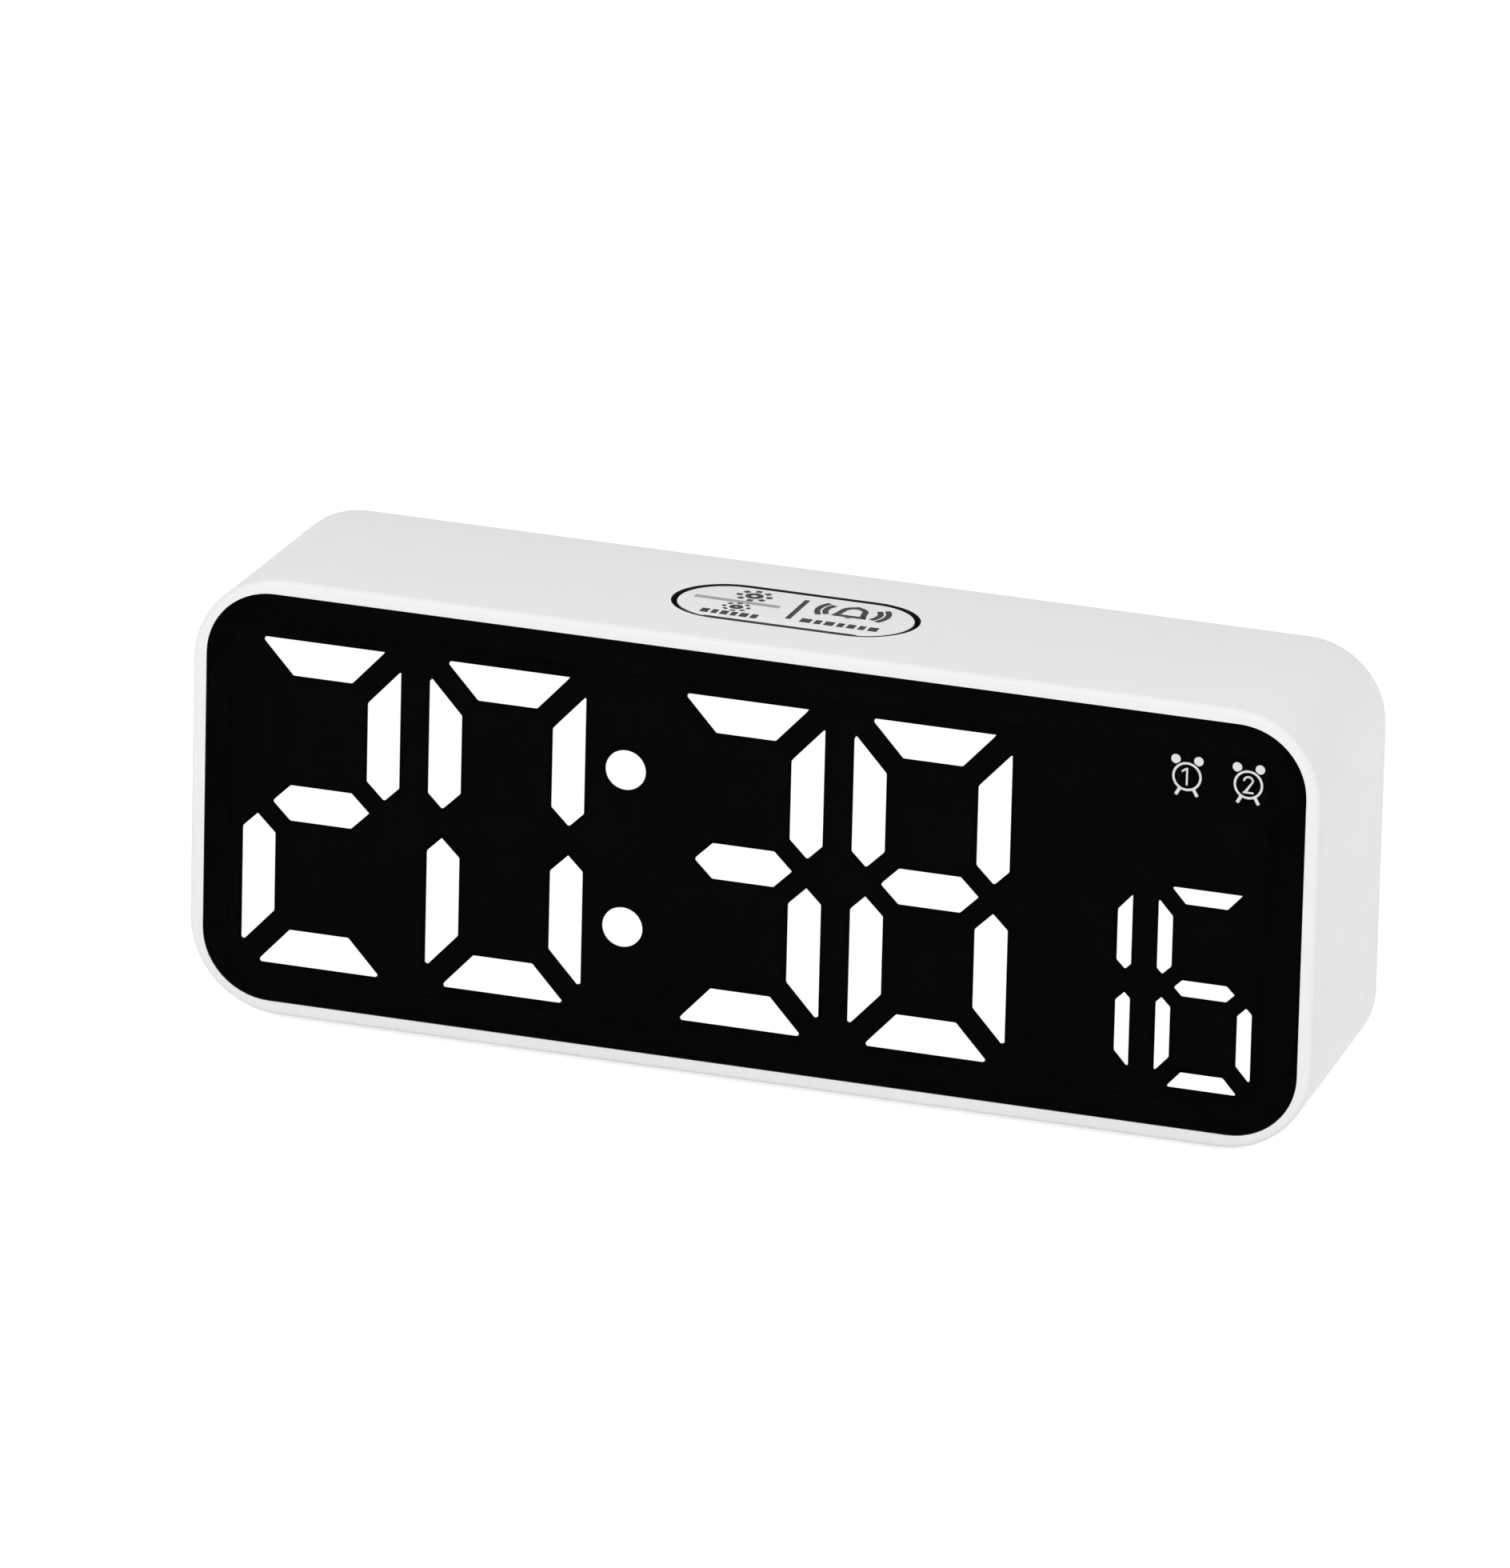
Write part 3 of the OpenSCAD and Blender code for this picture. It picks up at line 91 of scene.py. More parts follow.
def add_camera():
    panel_low, panel_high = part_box("front_panel")
    middle = (panel_low + panel_high) / 2
    target = Vector((middle.x, panel_low.y, middle.z))
    forward = Vector((
        -sin(CAM_SIDE) * cos(CAM_DOWN), cos(CAM_SIDE) * cos(CAM_DOWN), -sin(CAM_DOWN)))
    level = Vector((cos(CAM_SIDE), sin(CAM_SIDE), 0))
    upward = Vector((
        -sin(CAM_SIDE) * sin(CAM_DOWN), cos(CAM_SIDE) * sin(CAM_DOWN), cos(CAM_DOWN)))
    right = level * cos(CAM_ROLL) + upward * sin(CAM_ROLL)
    up = -level * sin(CAM_ROLL) + upward * cos(CAM_ROLL)
    off_x = CAM_CENTRE[0] - IMAGE_W / 2
    off_y = IMAGE_H / 2 - CAM_CENTRE[1]
    data = bpy.data.cameras.new("camera")
    data.sensor_width = SENSOR
    data.lens = CAM_SCALE * CAM_DISTANCE / IMAGE_H * SENSOR
    data.clip_start, data.clip_end = CLIP_NEAR, CLIP_FAR
    camera = bpy.data.objects.new("camera", data)
    scene.collection.objects.link(camera)
    aside = right * off_x / CAM_SCALE + up * off_y / CAM_SCALE
    place = target - UNIT * (aside + CAM_DISTANCE * forward)
    turn = Matrix((right, up, -forward)).transposed().to_4x4()
    camera.matrix_world = Matrix.Translation(place) @ turn
    scene.camera = camera


add_camera()


# Materials

NOISE_LOW, NOISE_HIGH = 0.3, 0.7  # a noise lies mostly between these
MIX_SHARE, MIX_A, MIX_B, MIX_RESULT = 0, 6, 7, 2  # sockets of a colour Mix node


def is_socket(value):
    return hasattr(value, "is_linked")


class Shader:
    """A node material built up step by step, in the object's own metres."""

    def __init__(self, name):
        self.material = bpy.data.materials.new(name)
        self.material.use_nodes = True
        self.tree = self.material.node_tree
        self.surface = self.tree.nodes["Principled BSDF"]
        self.place = self.add("ShaderNodeTexCoord").outputs["Object"]

    def add(self, kind, **values):
        node = self.tree.nodes.new(kind)
        for key, value in values.items():
            setattr(node, key, value)
        return node

    def link(self, a, b):
        self.tree.links.new(a, b)

    def noise(self, size, detail, rough=0.5, stretch=(1, 1, 1)):
        """Noise with features of a size in metres."""
        where = self.add("ShaderNodeMapping")
        where.inputs["Scale"].default_value = stretch
        self.link(self.place, where.inputs["Vector"])
        node = self.add("ShaderNodeTexNoise")
        node.inputs["Scale"].default_value = 1 / size
        node.inputs["Detail"].default_value = detail
        node.inputs["Roughness"].default_value = rough
        self.link(where.outputs["Vector"], node.inputs["Vector"])
        return node.outputs["Fac"]

    def ramp(self, value, first, last, low=NOISE_LOW, high=NOISE_HIGH):
        """Goes from the first colour to the last one as a value goes from low to high."""
        node = self.add("ShaderNodeValToRGB")
        for element, place, colour in zip(node.color_ramp.elements, (low, high), (first, last)):
            element.position = place
            element.color = (*colour, 1)
        self.link(value, node.inputs["Fac"])
        return node.outputs["Color"]

    def spread(self, value, low, high):
        """Stretches a noise over the numbers from low to high."""
        node = self.add("ShaderNodeMapRange")
        node.inputs["From Min"].default_value = NOISE_LOW
        node.inputs["From Max"].default_value = NOISE_HIGH
        node.inputs["To Min"].default_value = low
        node.inputs["To Max"].default_value = high
        self.link(value, node.inputs["Value"])
        return node.outputs["Result"]

    def sums(self, kind, a, b):
        """A Math node of a kind; a and b are numbers or sockets."""
        node = self.add("ShaderNodeMath", operation=kind)
        for socket, value in zip(node.inputs, (a, b)):
            if is_socket(value):
                self.link(value, socket)
            else:
                socket.default_value = value
        return node.outputs[0]

    def along(self, axis, origin):
        """Distance of the shaded point from an origin along an axis, in metres."""
        node = self.add("ShaderNodeVectorMath", operation="DOT_PRODUCT")
        node.inputs[1].default_value = axis
        self.link(self.place, node.inputs[0])
        return self.sums("SUBTRACT", node.outputs["Value"], Vector(axis).dot(origin))

    def between(self, value, low, high):
        """1 where a value lies between low and high, 0 elsewhere."""
        above = self.sums("GREATER_THAN", value, low)
        return self.sums("MULTIPLY", above, self.sums("LESS_THAN", value, high))

    def inside(self, x, y, half_x, half_y, r):
        """1 inside a rectangle with corners of radius r, 0 outside."""
        parts = []
        for value, half in ((x, half_x), (y, half_y)):
            past = self.sums("SUBTRACT", self.sums("ABSOLUTE", value, 0), half - r)
            parts.append(self.sums("POWER", self.sums("MAXIMUM", past, 0), 2))
        return self.sums("LESS_THAN", self.sums("ADD", *parts), r * r)

    def mix(self, share, a, b):
        """Colour a where the share is 0 and colour b where it is 1."""
        node = self.add("ShaderNodeMix", data_type="RGBA")
        self.link(share, node.inputs[MIX_SHARE])
        for i, colour in ((MIX_A, a), (MIX_B, b)):
            if is_socket(colour):
                self.link(colour, node.inputs[i])
            else:
                node.inputs[i].default_value = (*colour, 1)
        return node.outputs[MIX_RESULT]

    def bump(self, height, depth, under=None):
        """Bump of a depth in metres, on top of another one where that is given."""
        node = self.add("ShaderNodeBump")
        node.inputs["Strength"].default_value = 1.0
        node.inputs["Distance"].default_value = depth
        self.link(height, node.inputs["Height"])
        if under is not None:
            self.link(under, node.inputs["Normal"])
        return node.outputs["Normal"]

    def paint(self, **inputs):
        """Sets or links inputs of the surface shader, with _ for a space."""
        for key, value in inputs.items():
            socket = self.surface.inputs[key.replace("_", " ")]
            if is_socket(value):
                self.link(value, socket)
            else:
                socket.default_value = (*value, 1) if isinstance(value, tuple) else value
        return self.material


def shade(colour, factor):
    return tuple(c * factor for c in colour)


# Painted shade on the white plastic: black where shade falls in the top key's gap and behind the
# panel. Heights over the top key's face are counted up along its own frame, and depths behind the
# panel's face along Y.

# Black of the black parts, and also the black of the painted shade
BLACK_AND_PAINTED_SHADE = (0.004, 0.004, 0.004)
KEY_GAP = 0.75 * MM  # between the top key and its opening
OPENING_PAST = 0.06 * MM
OPENING_TOP = 0.02 * MM
OPENING_DEPTH = 4 * MM
SKIRT_TOP = 0.12 * MM
LONG_SIDE_TOP = 0.012 * MM
LONG_SIDE_W = 0.35 * MM
PANEL_CORNER = 9.5 * MM
POCKET_PAST = 0.16 * MM
POCKET_TOP = 0.12 * MM
POCKET_DEPTH = 16 * MM


def housing_painted_shade(s):
    """Painted shade: black on the wall of the top key's opening, and on all that lies behind the
    panel.
    """
    x = s.along(top_frame.across, top_frame.middle)
    y = s.along(top_frame.depth, top_frame.middle)
    up = s.along(top_frame.up, top_frame.middle)
    reach = KEY_GAP + OPENING_PAST
    half_x, half_y = top_frame.half_x + reach, top_frame.half_y + reach
    wall = s.between(up, -OPENING_DEPTH, -OPENING_TOP)
    opening = s.sums("MULTIPLY", s.inside(x, y, half_x, half_y, half_y), wall)
    low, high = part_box("front_panel")
    middle = (low + high) / 2
    half = (high - low) / 2
    side = s.along((1, 0, 0), middle)
    rise = s.along((0, 0, 1), middle)
    depth = s.along((0, 1, 0), low)
    pocket = s.inside(side, rise, half.x + POCKET_PAST, half.z + POCKET_PAST,
                      PANEL_CORNER + POCKET_PAST)
    behind = s.between(depth, POCKET_TOP, POCKET_DEPTH)
    return s.sums("MAXIMUM", opening, s.sums("MULTIPLY", pocket, behind))


def skirt_painted_shade(s):
    """Painted shade on the skirt of the top key, in its gap; on its long sides the painted shade
    comes up higher.
    """
    up = s.along(top_frame.up, top_frame.middle)
    out = s.sums("ABSOLUTE", s.along(top_frame.depth, top_frame.middle), 0)
    long_side = s.sums("MULTIPLY", s.sums("GREATER_THAN", out, top_frame.half_y - LONG_SIDE_W),
                       s.sums("LESS_THAN", up, -LONG_SIDE_TOP))
    return s.sums("MAXIMUM", long_side, s.sums("LESS_THAN", up, -SKIRT_TOP))


# Makers of materials: each noise has the real size of the detail that it stands for, which
# its name says, and the pairs of numbers are the least and the most of a roughness

TRACK_SCALE, TRACK_W = 260, 0.02
CORE_SCALE = 160
CAP_LENGTH = 1.6 * MM
BAND_LENGTH = 9 * MM
BAND_METALLIC = 0.6


def moulded(name, colour, rough, grain=0.35, depth=0.02, spread=0.012, gloss=0.5, mask=None):
    """Moulded plastic: spark-eroded grain of a size and depth in mm, faint flow clouds and
    uneven gloss, with painted shade in black where a mask says so."""
    s = Shader(name)
    clouds = s.noise(18 * MM, detail=3)
    tint = s.ramp(clouds, shade(colour, 1 - spread), colour)
    # painted shade: black where the mask says so
    if mask:
        tint = s.mix(mask(s), tint, BLACK_AND_PAINTED_SHADE)
    patches = s.noise(4 * MM, detail=4)
    fine = s.noise(grain * MM, detail=3, rough=0.6)
    ripple = s.noise(9 * MM, detail=1)
    return s.paint(
        Base_Color=tint,
        Specular_IOR_Level=gloss,
        Roughness=s.spread(patches, rough - 0.04, rough + 0.04),
        Normal=s.bump(fine, depth * MM, under=s.bump(ripple, 0.02 * MM)),
    )


def metal(name, colour, rough, axis):
    """Plated or drawn metal, with fine marks along one axis."""
    s = Shader(name)
    stretch = [0.06 if letter == axis else 1 for letter in "xyz"]
    marks = s.noise(0.12 * MM, detail=4, rough=0.7, stretch=stretch)
    clouds = s.noise(3 * MM, detail=3)
    return s.paint(
        Base_Color=s.ramp(clouds, shade(colour, 0.88), colour),
        Metallic=1.0,
        Roughness=s.spread(marks, rough - 0.08, rough + 0.08),
        Normal=s.bump(marks, 0.004 * MM),
    )


def glowing(name, strength):
    """Lit diffuser: plain white light from a milky surface."""
    s = Shader(name)
    white = (1.0, 1.0, 1.0)
    fine = s.noise(0.5 * MM, detail=2)
    return s.paint(
        Base_Color=s.ramp(fine, shade(white, 0.97), white),
        Roughness=0.35,
        Emission_Color=white,
        Emission_Strength=strength,
        Normal=s.bump(fine, 0.005 * MM),
    )


def smoked():
    """Glossy smoked sheet; what is lit behind it shows through."""
    s = Shader("smoked_panel")
    haze = s.noise(7 * MM, detail=5, rough=0.65)
    wave = s.noise(40 * MM, detail=1)
    return s.paint(
        Base_Color=s.ramp(haze, (0.0011, 0.0011, 0.0012), (0.0016, 0.0016, 0.0018)),
        Roughness=s.spread(haze, 0.045, 0.075),
        Specular_IOR_Level=0.015,
        Alpha=0.55,
        Normal=s.bump(wave, 0.03 * MM),
    )


def board_face():
    """Circuit board: green mask over a fine weave, with raised copper tracks."""
    s = Shader("circuit_board")
    green, track_green = (0.012, 0.085, 0.038), (0.03, 0.17, 0.075)
    ground, line = (0, 0, 0, 1), (1, 1, 1, 1)
    tracks = s.add("ShaderNodeTexBrick", offset=0.5)
    tracks.inputs["Scale"].default_value = TRACK_SCALE
    tracks.inputs["Mortar Size"].default_value = TRACK_W
    tracks.inputs["Color1"].default_value = ground
    tracks.inputs["Color2"].default_value = ground
    tracks.inputs["Mortar"].default_value = line
    turned = s.add("ShaderNodeMapping")
    turned.inputs["Rotation"].default_value = (radians(90), 0, 0)
    s.link(s.place, turned.inputs["Vector"])
    s.link(turned.outputs["Vector"], tracks.inputs["Vector"])
    weave = s.noise(0.5 * MM, detail=2)
    lift = s.bump(tracks.outputs["Color"], 0.03 * MM)
    return s.paint(
        Base_Color=s.mix(tracks.outputs["Color"], green, track_green),
        Roughness=s.spread(weave, 0.28, 0.4),
        Normal=s.bump(weave, 0.006 * MM, under=lift),
    )


def component():
    """Black moulded parts with a fine matt grain and pale dust in places."""
    s = Shader("black_component")
    grain = s.noise(0.12 * MM, detail=3, rough=0.7)
    cloud = s.noise(2.5 * MM, detail=3)
    return s.paint(
        Base_Color=s.ramp(cloud, (0.012, 0.012, 0.013), (0.022, 0.022, 0.024), low=0.35),
        Roughness=s.spread(cloud, 0.42, 0.58),
        Normal=s.bump(grain, 0.01 * MM),
    )


def ribbon():
    """Flat lead with its separate cores as ribs."""
    s = Shader("ribbon_lead")
    cores = s.add(
        "ShaderNodeTexWave", wave_type="BANDS", bands_direction="X", wave_profile="SIN")
    cores.inputs["Scale"].default_value = CORE_SCALE
    cores.inputs["Distortion"].default_value = 0
    s.link(s.place, cores.inputs["Vector"])
    height = cores.outputs["Fac"]
    tint = s.ramp(height, (0.3, 0.3, 0.31), (0.6, 0.6, 0.6), low=0.1, high=0.5)
    return s.paint(Base_Color=tint, Roughness=0.5, Normal=s.bump(height, 0.1 * MM))


def cell_wrap():
    """Cells in a dark sleeve, with a pale band and a bare metal cap at each end."""
    s = Shader("cell_jacket")
    sleeve_dark, sleeve_pale = (0.055, 0.06, 0.07), (0.07, 0.076, 0.088)
    band_grey, cap_metal = (0.32, 0.33, 0.35), (0.62, 0.62, 0.61)
    low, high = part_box("battery_cells")
    axes = s.add("ShaderNodeSeparateXYZ")
    s.link(s.place, axes.inputs[0])
    middle = (low.x + high.x) / 2
    half = (high.x - low.x) / 2
    out = s.sums("ABSOLUTE", s.sums("SUBTRACT", axes.outputs["X"], middle), 0)
    cap = s.sums("GREATER_THAN", out, half - CAP_LENGTH)
    band = s.sums("GREATER_THAN", out, half - BAND_LENGTH)
    fine = s.noise(0.4 * MM, detail=3)
    scuff = s.noise(6 * MM, detail=5, rough=0.7)
    sleeve = s.ramp(scuff, sleeve_dark, sleeve_pale)
    return s.paint(
        Base_Color=s.mix(cap, s.mix(band, sleeve, band_grey), cap_metal),
        Metallic=s.sums("MAXIMUM", cap, s.sums("MULTIPLY", band, BAND_METALLIC)),
        Roughness=s.spread(scuff, 0.26, 0.4),
        Normal=s.bump(fine, 0.006 * MM),
    )


def rubber():
    """Soft dark rubber, matt and a little dusty."""
    s = Shader("foot_rubber")
    dust = s.noise(1.6 * MM, detail=4, rough=0.7)
    grain = s.noise(0.25 * MM, detail=3)
    return s.paint(
        Base_Color=s.ramp(dust, (0.055, 0.055, 0.056), (0.1, 0.1, 0.1), low=0.35, high=0.75),
        Roughness=s.spread(dust, 0.7, 0.88),
        Normal=s.bump(grain, 0.02 * MM),
    )


def led():
    """Yellow filling of the light-emitting chips."""
    s = Shader("led_package")
    fine = s.noise(0.3 * MM, detail=2)
    return s.paint(
        Base_Color=s.ramp(fine, (0.8, 0.66, 0.28), (0.88, 0.78, 0.42)),
        Roughness=s.spread(fine, 0.25, 0.4),
        Normal=s.bump(fine, 0.006 * MM),
    )


def printed(name, colour):
    """Pad-printed ink, slightly uneven in thickness."""
    s = Shader(name)
    thin = s.noise(0.35 * MM, detail=3, rough=0.6)
    return s.paint(
        Base_Color=s.ramp(thin, shade(colour, 1.25), colour),
        Specular_IOR_Level=0.15,
        Roughness=s.spread(thin, 0.5, 0.62),
        Normal=s.bump(thin, 0.006 * MM),
    )


WHITE = (0.84, 0.84, 0.835)
KEY_WHITE = shade(WHITE, 0.985)
KEY_FINISH = {"rough": 0.44, "grain": 0.25, "depth": 0.012}
DARK_FINISH = {"rough": 0.7, "grain": 0.2, "spread": 0.2, "gloss": 0.06}
UNLIT_BLACK = (0.004, 0.004, 0.0044)
UNLIT_FINISH = {"rough": 0.6, "grain": 0.4, "spread": 0.1, "gloss": 0.06}
LEAD_RED = (0.36, 0.02, 0.02)

# Which nodes each material dresses
DRESSES = [
    # White plastic with painted shade, in black, in the top key's gap and behind the panel
    (moulded("white_plastic", WHITE, 0.5, mask=housing_painted_shade),
     ["housing", "back_cover", "battery_door"]),
    (moulded("key_plastic", KEY_WHITE, **KEY_FINISH),
     ["set_key", "alarm_key", "up_key", "down_key"]),
    # Top key with painted shade, in black, on its skirt
    (moulded("rocker_plastic_painted_shade", KEY_WHITE, **KEY_FINISH, mask=skirt_painted_shade), ["rocker_key"]),
    (smoked(), ["front_panel"]),
    (moulded("black_tape", BLACK_AND_PAINTED_SHADE, **DARK_FINISH), ["panel_tape", "mark_film"]),
    (moulded("black_plastic", BLACK_AND_PAINTED_SHADE, **DARK_FINISH), ["light_block"]),
    (glowing("lit_diffuser", 5.0),
     ["hour_tens_digit", "hour_units_digit", "minute_tens_digit", "minute_units_digit",
      "colon_dots", "small_digits"]),
    (glowing("lit_mark", 3.5), ["alarm_marks"]),
    (moulded("unlit_diffuser", UNLIT_BLACK, **UNLIT_FINISH), ["unlit_segments"]),
    (board_face(), ["display_board", "rocker_board", "control_board"]),
    (led(), ["led_chips"]),
    (component(), ["driver_chip", "rocker_switches", "control_chip", "key_switches", "buzzer"]),
    (metal("screw_steel", (0.56, 0.57, 0.59), 0.3, "x"),
     ["display_screws", "rocker_board_screws", "cover_screws", "control_board_screws",
      "rocker_pin"]),
    (ribbon(), ["display_lead", "rocker_lead"]),
    (metal("socket_steel", (0.6, 0.61, 0.63), 0.26, "y"), ["power_socket"]),
    (cell_wrap(), ["battery_cells"]),
    (metal("contact_metal", (0.76, 0.76, 0.74), 0.22, "z"), ["contact_plates", "contact_springs"]),
    (moulded("lead_jacket", LEAD_RED, 0.35, grain=0.3, depth=0.006), ["battery_leads"]),
    (rubber(), ["feet"]),
]


def dress(node, material):
    slots = nodes[node].data.materials
    if not slots:
        slots.append(material)
    for i in range(len(slots)):
        slots[i] = material


for material, members in DRESSES:
    for member in members:
        dress(member, material)


# Curved faces of the solids shade as curves, and their corners stay sharp

SMOOTH_ANGLE = radians(32)
WELD_REACH = 0.002 * MM
FLAT_NODES = {"display_board", "rocker_board", "control_board", "contact_plates"}


def smooth(node):
    item = nodes[node]
    item.data.attributes.active_color_index = -1
    for face in item.data.polygons:
        face.use_smooth = True
    weld = item.modifiers.new("weld", "WELD")
    weld.merge_threshold = WELD_REACH
    split = item.modifiers.new("corners", "EDGE_SPLIT")
    split.split_angle = SMOOTH_ANGLE
    split.use_edge_sharp = False


for name in nodes:
    if name not in FLAT_NODES:
        smooth(name)


# Prints: flat shapes in a plane, given in millimetres. The ink stands INK_T over the surface
# and goes as far into it.

INK_T = 0.03


def arc(x, y, r, start, stop, steps):
    """Points of an arc, from one angle to another in degrees."""
    return [
        (x + r * cos(radians(start + (stop - start) * i / steps)),
         y + r * sin(radians(start + (stop - start) * i / steps)))
        for i in range(steps + 1)
    ]


def circle(x, y, r, points=24):
    """Points of a closed circle, the first one not repeated."""
    return arc(x, y, r, 0, 360 - 360 / points, points - 1)


def stroke(path, width, closed):
    """The left and the right edge of a line of a width along a path."""
    n = len(path)
    left, right = [], []
    for i in range(n):
        if closed:
            a, b = path[i - 1], path[(i + 1) % n]
        else:
            a, b = path[max(0, i - 1)], path[min(n - 1, i + 1)]
        dx, dy = b[0] - a[0], b[1] - a[1]
        length = hypot(dx, dy)
        nx, ny = -dy / length * width / 2, dx / length * width / 2
        left.append((path[i][0] + nx, path[i][1] + ny))
        right.append((path[i][0] - nx, path[i][1] - ny))
    return left, right


def add_row(bm, points, height, matrix):
    """Vertices at points in millimetres, at a height over the plane of a matrix."""
    return [bm.verts.new(matrix @ Vector((x * MM, y * MM, height * MM))) for x, y in points]


def add_strip(bm, left, right, matrix, closed):
    """Solid line between its left and its right edge."""
    edges = ((left, INK_T), (right, INK_T), (right, -INK_T), (left, -INK_T))
    rows = [add_row(bm, points, height, matrix) for points, height in edges]
    n = len(left)
    for i in range(n if closed else n - 1):
        j = (i + 1) % n
        for a, b in ((0, 1), (1, 2), (2, 3), (3, 0)):
            bm.faces.new((rows[a][i], rows[b][i], rows[b][j], rows[a][j]))
    if not closed:
        bm.faces.new([rows[k][0] for k in (3, 2, 1, 0)])
        bm.faces.new([rows[k][-1] for k in (0, 1, 2, 3)])


def add_fill(bm, outline, matrix):
    """Solid plate on a convex outline."""
    top = add_row(bm, outline, INK_T, matrix)
    low = add_row(bm, outline, -INK_T, matrix)
    bm.faces.new(top)
    bm.faces.new(list(reversed(low)))
    n = len(outline)
    for i in range(n):
        j = (i + 1) % n
        bm.faces.new((top[j], top[i], low[i], low[j]))


def ink(name, matrix, marks, body, material):
    """One print piece; marks are ("line" or "ring", points, width) or ("fill", points)."""
    bm = bmesh.new()
    for kind, points, *width in marks:
        if kind == "fill":
            add_fill(bm, points, matrix)
        else:
            closed = kind == "ring"
            left, right = stroke(points, width[0], closed)
            add_strip(bm, left, right, matrix, closed)
    bmesh.ops.recalc_face_normals(bm, faces=bm.faces)
    mesh = bpy.data.meshes.new(name)
    bm.to_mesh(mesh)
    bm.free()
    piece = bpy.data.objects.new(name, mesh)
    scene.collection.objects.link(piece)
    mesh.materials.append(material)
    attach(piece, body)


# The bell's own shape, in shares of its width and height
BELL_SIDE = [(-0.5, -0.36), (-0.37, -0.22), (-0.33, 0.02)]
DOME_Y, DOME_R = 0.02, 0.33
CLAPPER_Y, CLAPPER_R = -0.44, 0.1
KNOB_Y, KNOB_R = 0.42, 0.06

SUN_RAYS = 8
SUN_GAP = 0.85
SOUND_HALF = 33  # degrees


def bell_marks(x, y, wide, high, line):
    """Bell seen from the front: a dome on a flared skirt, with a knob and a clapper."""
    dome = arc(0, DOME_Y, DOME_R, start=180, stop=0, steps=16)
    outline = BELL_SIDE + dome + [(-px, py) for px, py in reversed(BELL_SIDE)]
    ring = [(x + wide * px, y + high * py) for px, py in outline]
    clapper = arc(x, y + CLAPPER_Y * high, CLAPPER_R * wide, start=200, stop=340, steps=10)
    knob = circle(x, y + KNOB_Y * high, KNOB_R * wide)
    return [("ring", ring, line), ("fill", clapper), ("fill", knob)]


def sound_marks(x, y, radii, line):
    """Two arcs on each side of a place, one outside the other."""
    marks = []
    for middle in (180, 0):
        for r in radii:
            points = arc(x, y, r, middle - SOUND_HALF, middle + SOUND_HALF, steps=14)
            marks.append(("line", points, line))
    return marks


def sun_marks(x, y, r, ray, line):
    """Ring with rays round it."""
    marks = [("ring", circle(x, y, r), line)]
    near = r + SUN_GAP
    for i in range(SUN_RAYS):
        a = 2 * pi * i / SUN_RAYS
        ends = [(x + d * cos(a), y + d * sin(a)) for d in (near, near + ray)]
        marks.append(("line", ends, line))
    return marks


def dashes(x, y, lengths, gap, line):
    """Row of short marks, each as long as its length."""
    marks = []
    for length in lengths:
        marks.append(("line", [(x, y), (x + length, y)], line))
        x += length + gap
    return marks


DARK_INK = printed("dark_ink", (0.02, 0.02, 0.022))
GREY_INK = printed("grey_ink", (0.33, 0.33, 0.335))

DIVIDER, DIVIDER_W = [(0.1, -4.1), (0.1, 5.0)], 0.72
SUN_LINE, SUN_LINE_W = [(-14.5, 0.7), (-2.4, 0.4)], 1.1
DASH_H = 1.7
RIGHT_DASHES = (1.5, 0.9, 1.3, 0.9, 1.1, 0.9, 1.3)
LEFT_DASHES = (1.1, 0.8, 1.0, 0.8, 1.1, 0.9)


def rocker_prints():
    """Marks on the top key: a divider, two suns by a line on the left, a bell on the right,
    and a row of dashes under each."""
    dark = [
        ("line", DIVIDER, DIVIDER_W),
        *bell_marks(x=7.4, y=2.4, wide=4.7, high=5.6, line=0.86),
        *dashes(x=1.9, y=-3.9, lengths=RIGHT_DASHES, gap=0.5, line=DASH_H),
        *sun_marks(x=-7.05, y=3.8, r=0.85, ray=0.8, line=0.8),
        *sun_marks(x=-7.8, y=-1.95, r=0.6, ray=0.5, line=0.72),
        *dashes(x=-11.8, y=-5.1, lengths=LEFT_DASHES, gap=0.45, line=DASH_H),
        *sound_marks(x=7.4, y=2.2, radii=(3.75, 4.85), line=0.8),
    ]
    grey = [("line", SUN_LINE, SUN_LINE_W)]
    matrix = top_frame.matrix
    ink("rocker_mark_print", matrix, dark, "rocker_key", DARK_INK)
    ink("rocker_line_print", matrix, grey, "rocker_key", GREY_INK)


REAR_LINE = 0.28
FACE_R = 1.45
ARROW_HALF, ARROW_FOOT, ARROW_TIP = 1.25, 0.8, 1.1


def rear_prints():
    """One mark on each rear key: down, up, an alarm bell and a clock face."""
    down = [(-ARROW_HALF, ARROW_FOOT), (0, -ARROW_TIP), (ARROW_HALF, ARROW_FOOT)]
    up = [(-ARROW_HALF, -ARROW_FOOT), (ARROW_HALF, -ARROW_FOOT), (0, ARROW_TIP)]
    marks = {
        "down_key": [("fill", down)],
        "up_key": [("fill", up)],
        "alarm_key": bell_marks(x=0, y=0.1, wide=2.8, high=2.6, line=REAR_LINE),
        "set_key": [
            ("ring", circle(0, 0, FACE_R, points=45), REAR_LINE),
            ("line", [(0, 0), (0, 0.95)], REAR_LINE),
            ("line", [(-0.1, 0), (0.75, -0.35)], REAR_LINE),
        ],
    }
    seen_from_behind = Matrix(((-1, 0, 0), (0, 0, 1), (0, 1, 0))).to_4x4()
    for key, shapes in marks.items():
        low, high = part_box(key)
        matrix = Matrix.Translation(((low.x + high.x) / 2, high.y, (low.z + high.z) / 2))
        matrix = matrix @ seen_from_behind
        ink(key + "_print", matrix, shapes, key, DARK_INK)


rocker_prints()
rear_prints()


# Floor, backdrop and light

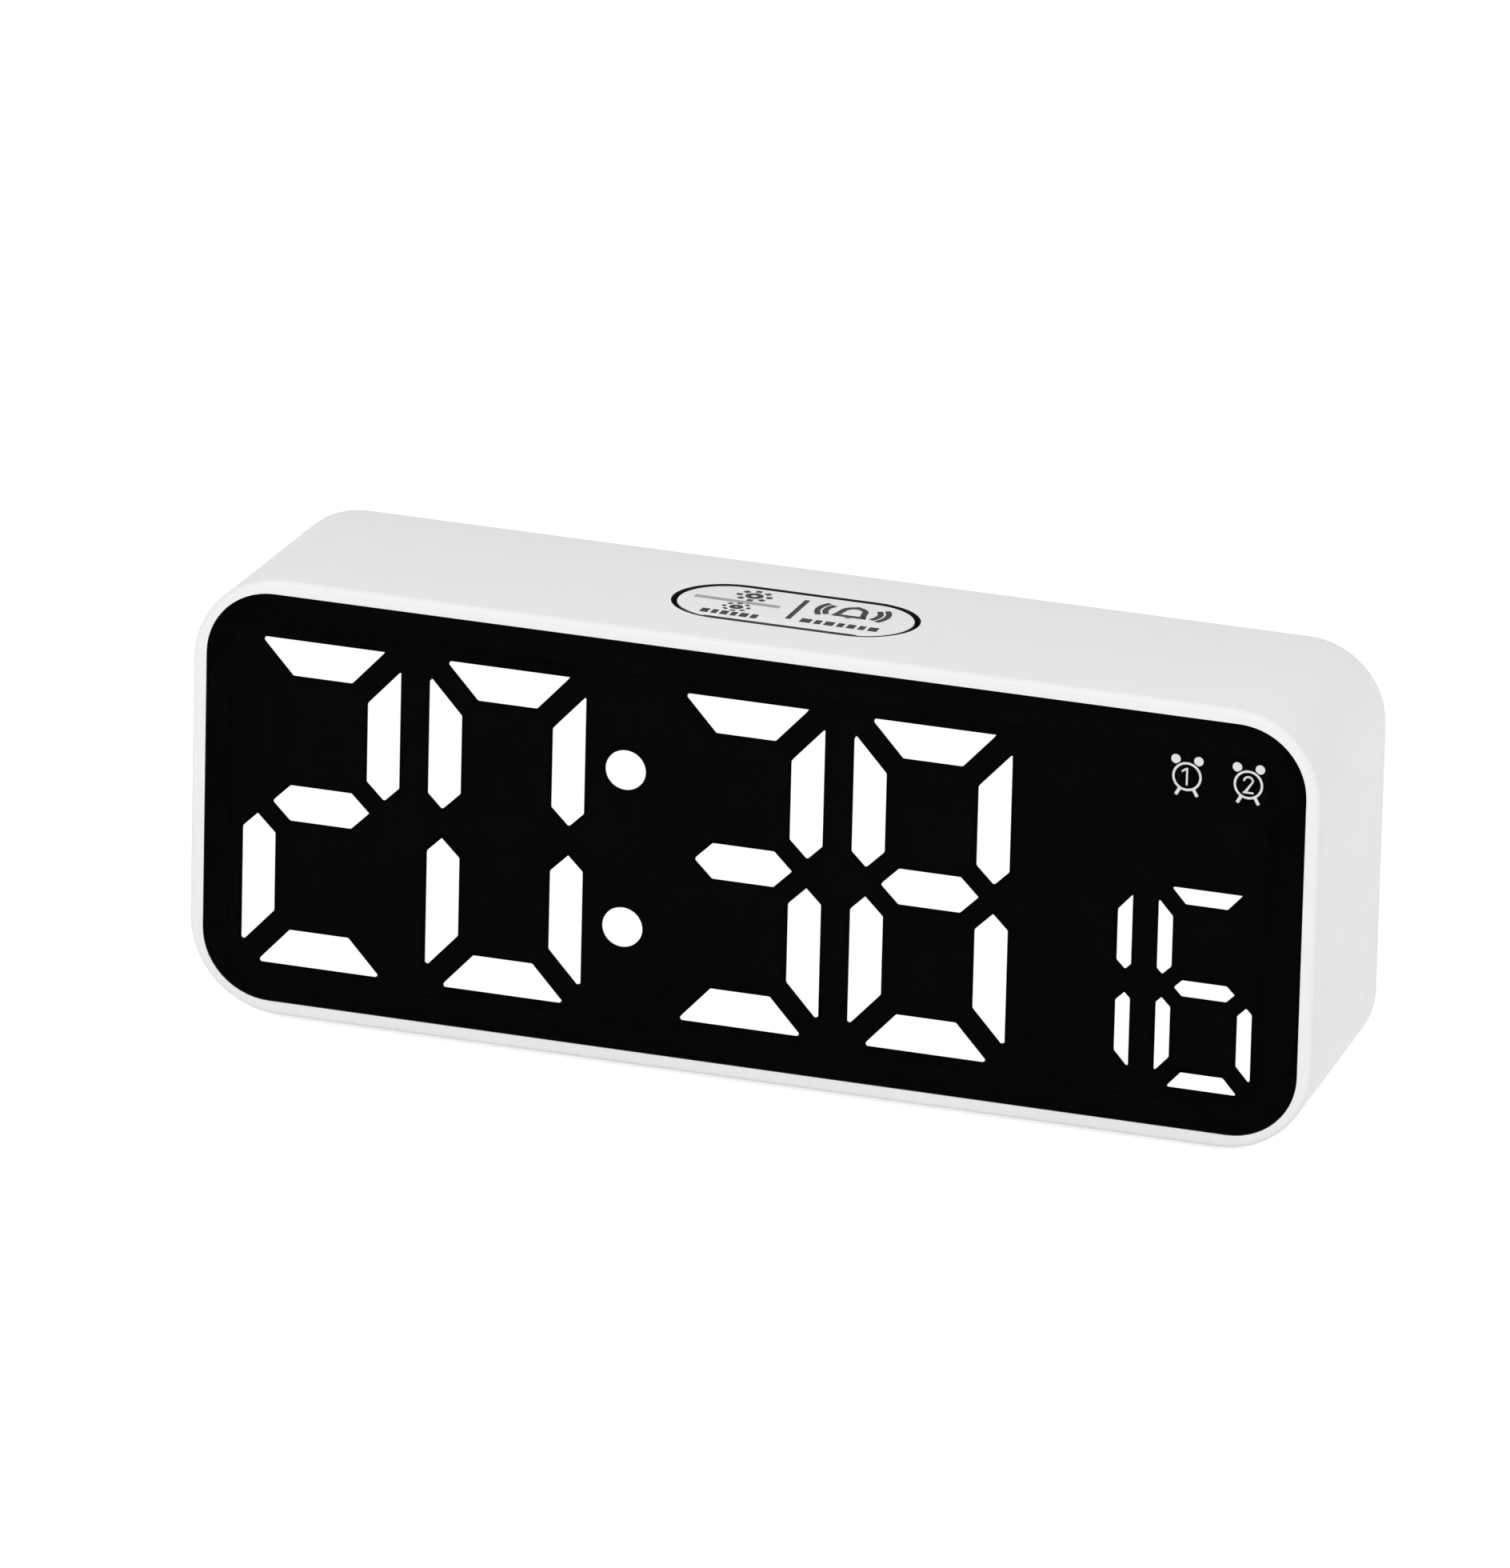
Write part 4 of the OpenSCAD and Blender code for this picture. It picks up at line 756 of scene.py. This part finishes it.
FLOOR_COLOUR = (0.88, 0.88, 0.88)
FLOOR_GLOW = 0.6
FLOOR_HALF = 6.0
FLOOR_DROP = 0.05 * MM  # keeps the faces of the feet clear of the floor
WORLD_LEVEL = 0.62
LAMP_TARGET = (0, 0, 0.03)


def white_rays(tree):
    """1 for the rays of the camera, of gloss and of glass, which see plain white; else 0."""
    path = tree.nodes.new("ShaderNodeLightPath")
    value = path.outputs["Is Camera Ray"]
    for kind in ("Is Glossy Ray", "Is Transmission Ray"):
        node = tree.nodes.new("ShaderNodeMath")
        node.operation = "MAXIMUM"
        tree.links.new(value, node.inputs[0])
        tree.links.new(path.outputs[kind], node.inputs[1])
        value = node.outputs[0]
    return value


def floor_material():
    """Pale floor that glows a little for the white rays and keeps the object's shadow."""
    material = bpy.data.materials.new("floor")
    material.use_nodes = True
    tree = material.node_tree
    tree.nodes.clear()
    out = tree.nodes.new("ShaderNodeOutputMaterial")
    diffuse = tree.nodes.new("ShaderNodeBsdfDiffuse")
    diffuse.inputs["Color"].default_value = (*FLOOR_COLOUR, 1)
    light = tree.nodes.new("ShaderNodeEmission")
    light.inputs["Color"].default_value = (1, 1, 1, 1)
    scale = tree.nodes.new("ShaderNodeMath")
    scale.operation = "MULTIPLY"
    scale.inputs[1].default_value = FLOOR_GLOW
    tree.links.new(white_rays(tree), scale.inputs[0])
    tree.links.new(scale.outputs[0], light.inputs["Strength"])
    total = tree.nodes.new("ShaderNodeAddShader")
    tree.links.new(diffuse.outputs[0], total.inputs[0])
    tree.links.new(light.outputs[0], total.inputs[1])
    tree.links.new(total.outputs[0], out.inputs["Surface"])
    return material


def add_floor():
    mesh = bpy.data.meshes.new("floor")
    corners = [(x * FLOOR_HALF, y * FLOOR_HALF, 0) for x, y in ((-1, -1), (1, -1), (1, 1), (-1, 1))]
    mesh.from_pydata(corners, [], [(0, 1, 2, 3)])
    floor = bpy.data.objects.new("floor", mesh)
    floor.location.z = -FLOOR_DROP
    scene.collection.objects.link(floor)
    mesh.materials.append(floor_material())


def add_world():
    """Plain light from all round, at full white for the white rays."""
    world = bpy.data.worlds.new("world")
    scene.world = world
    world.use_nodes = True
    tree = world.node_tree
    back = tree.nodes["Background"]
    back.inputs["Color"].default_value = (1, 1, 1, 1)
    level = tree.nodes.new("ShaderNodeMapRange")
    level.inputs["To Min"].default_value = WORLD_LEVEL
    level.inputs["To Max"].default_value = 1.0
    tree.links.new(white_rays(tree), level.inputs["Value"])
    tree.links.new(level.outputs["Result"], back.inputs["Strength"])


def add_lamp(name, place, size, power):
    """Round soft lamp, turned to the object."""
    data = bpy.data.lights.new(name, "AREA")
    data.shape = "DISK"
    data.size = size
    data.energy = power
    lamp = bpy.data.objects.new(name, data)
    scene.collection.objects.link(lamp)
    lamp.location = place
    lamp.rotation_mode = "QUATERNION"
    lamp.rotation_quaternion = (Vector(LAMP_TARGET) - Vector(place)).to_track_quat("-Z", "Y")


add_floor()
add_world()
add_lamp("key_lamp", place=(-0.35, -1.5, 0.8), size=1.4, power=10.8)
add_lamp("fill_lamp", place=(1.4, -0.5, 0.7), size=1.2, power=3.4)
add_lamp("top_lamp", place=(0.5, 0.7, 1.5), size=1.2, power=3.7)

scene.view_settings.view_transform = "Standard"
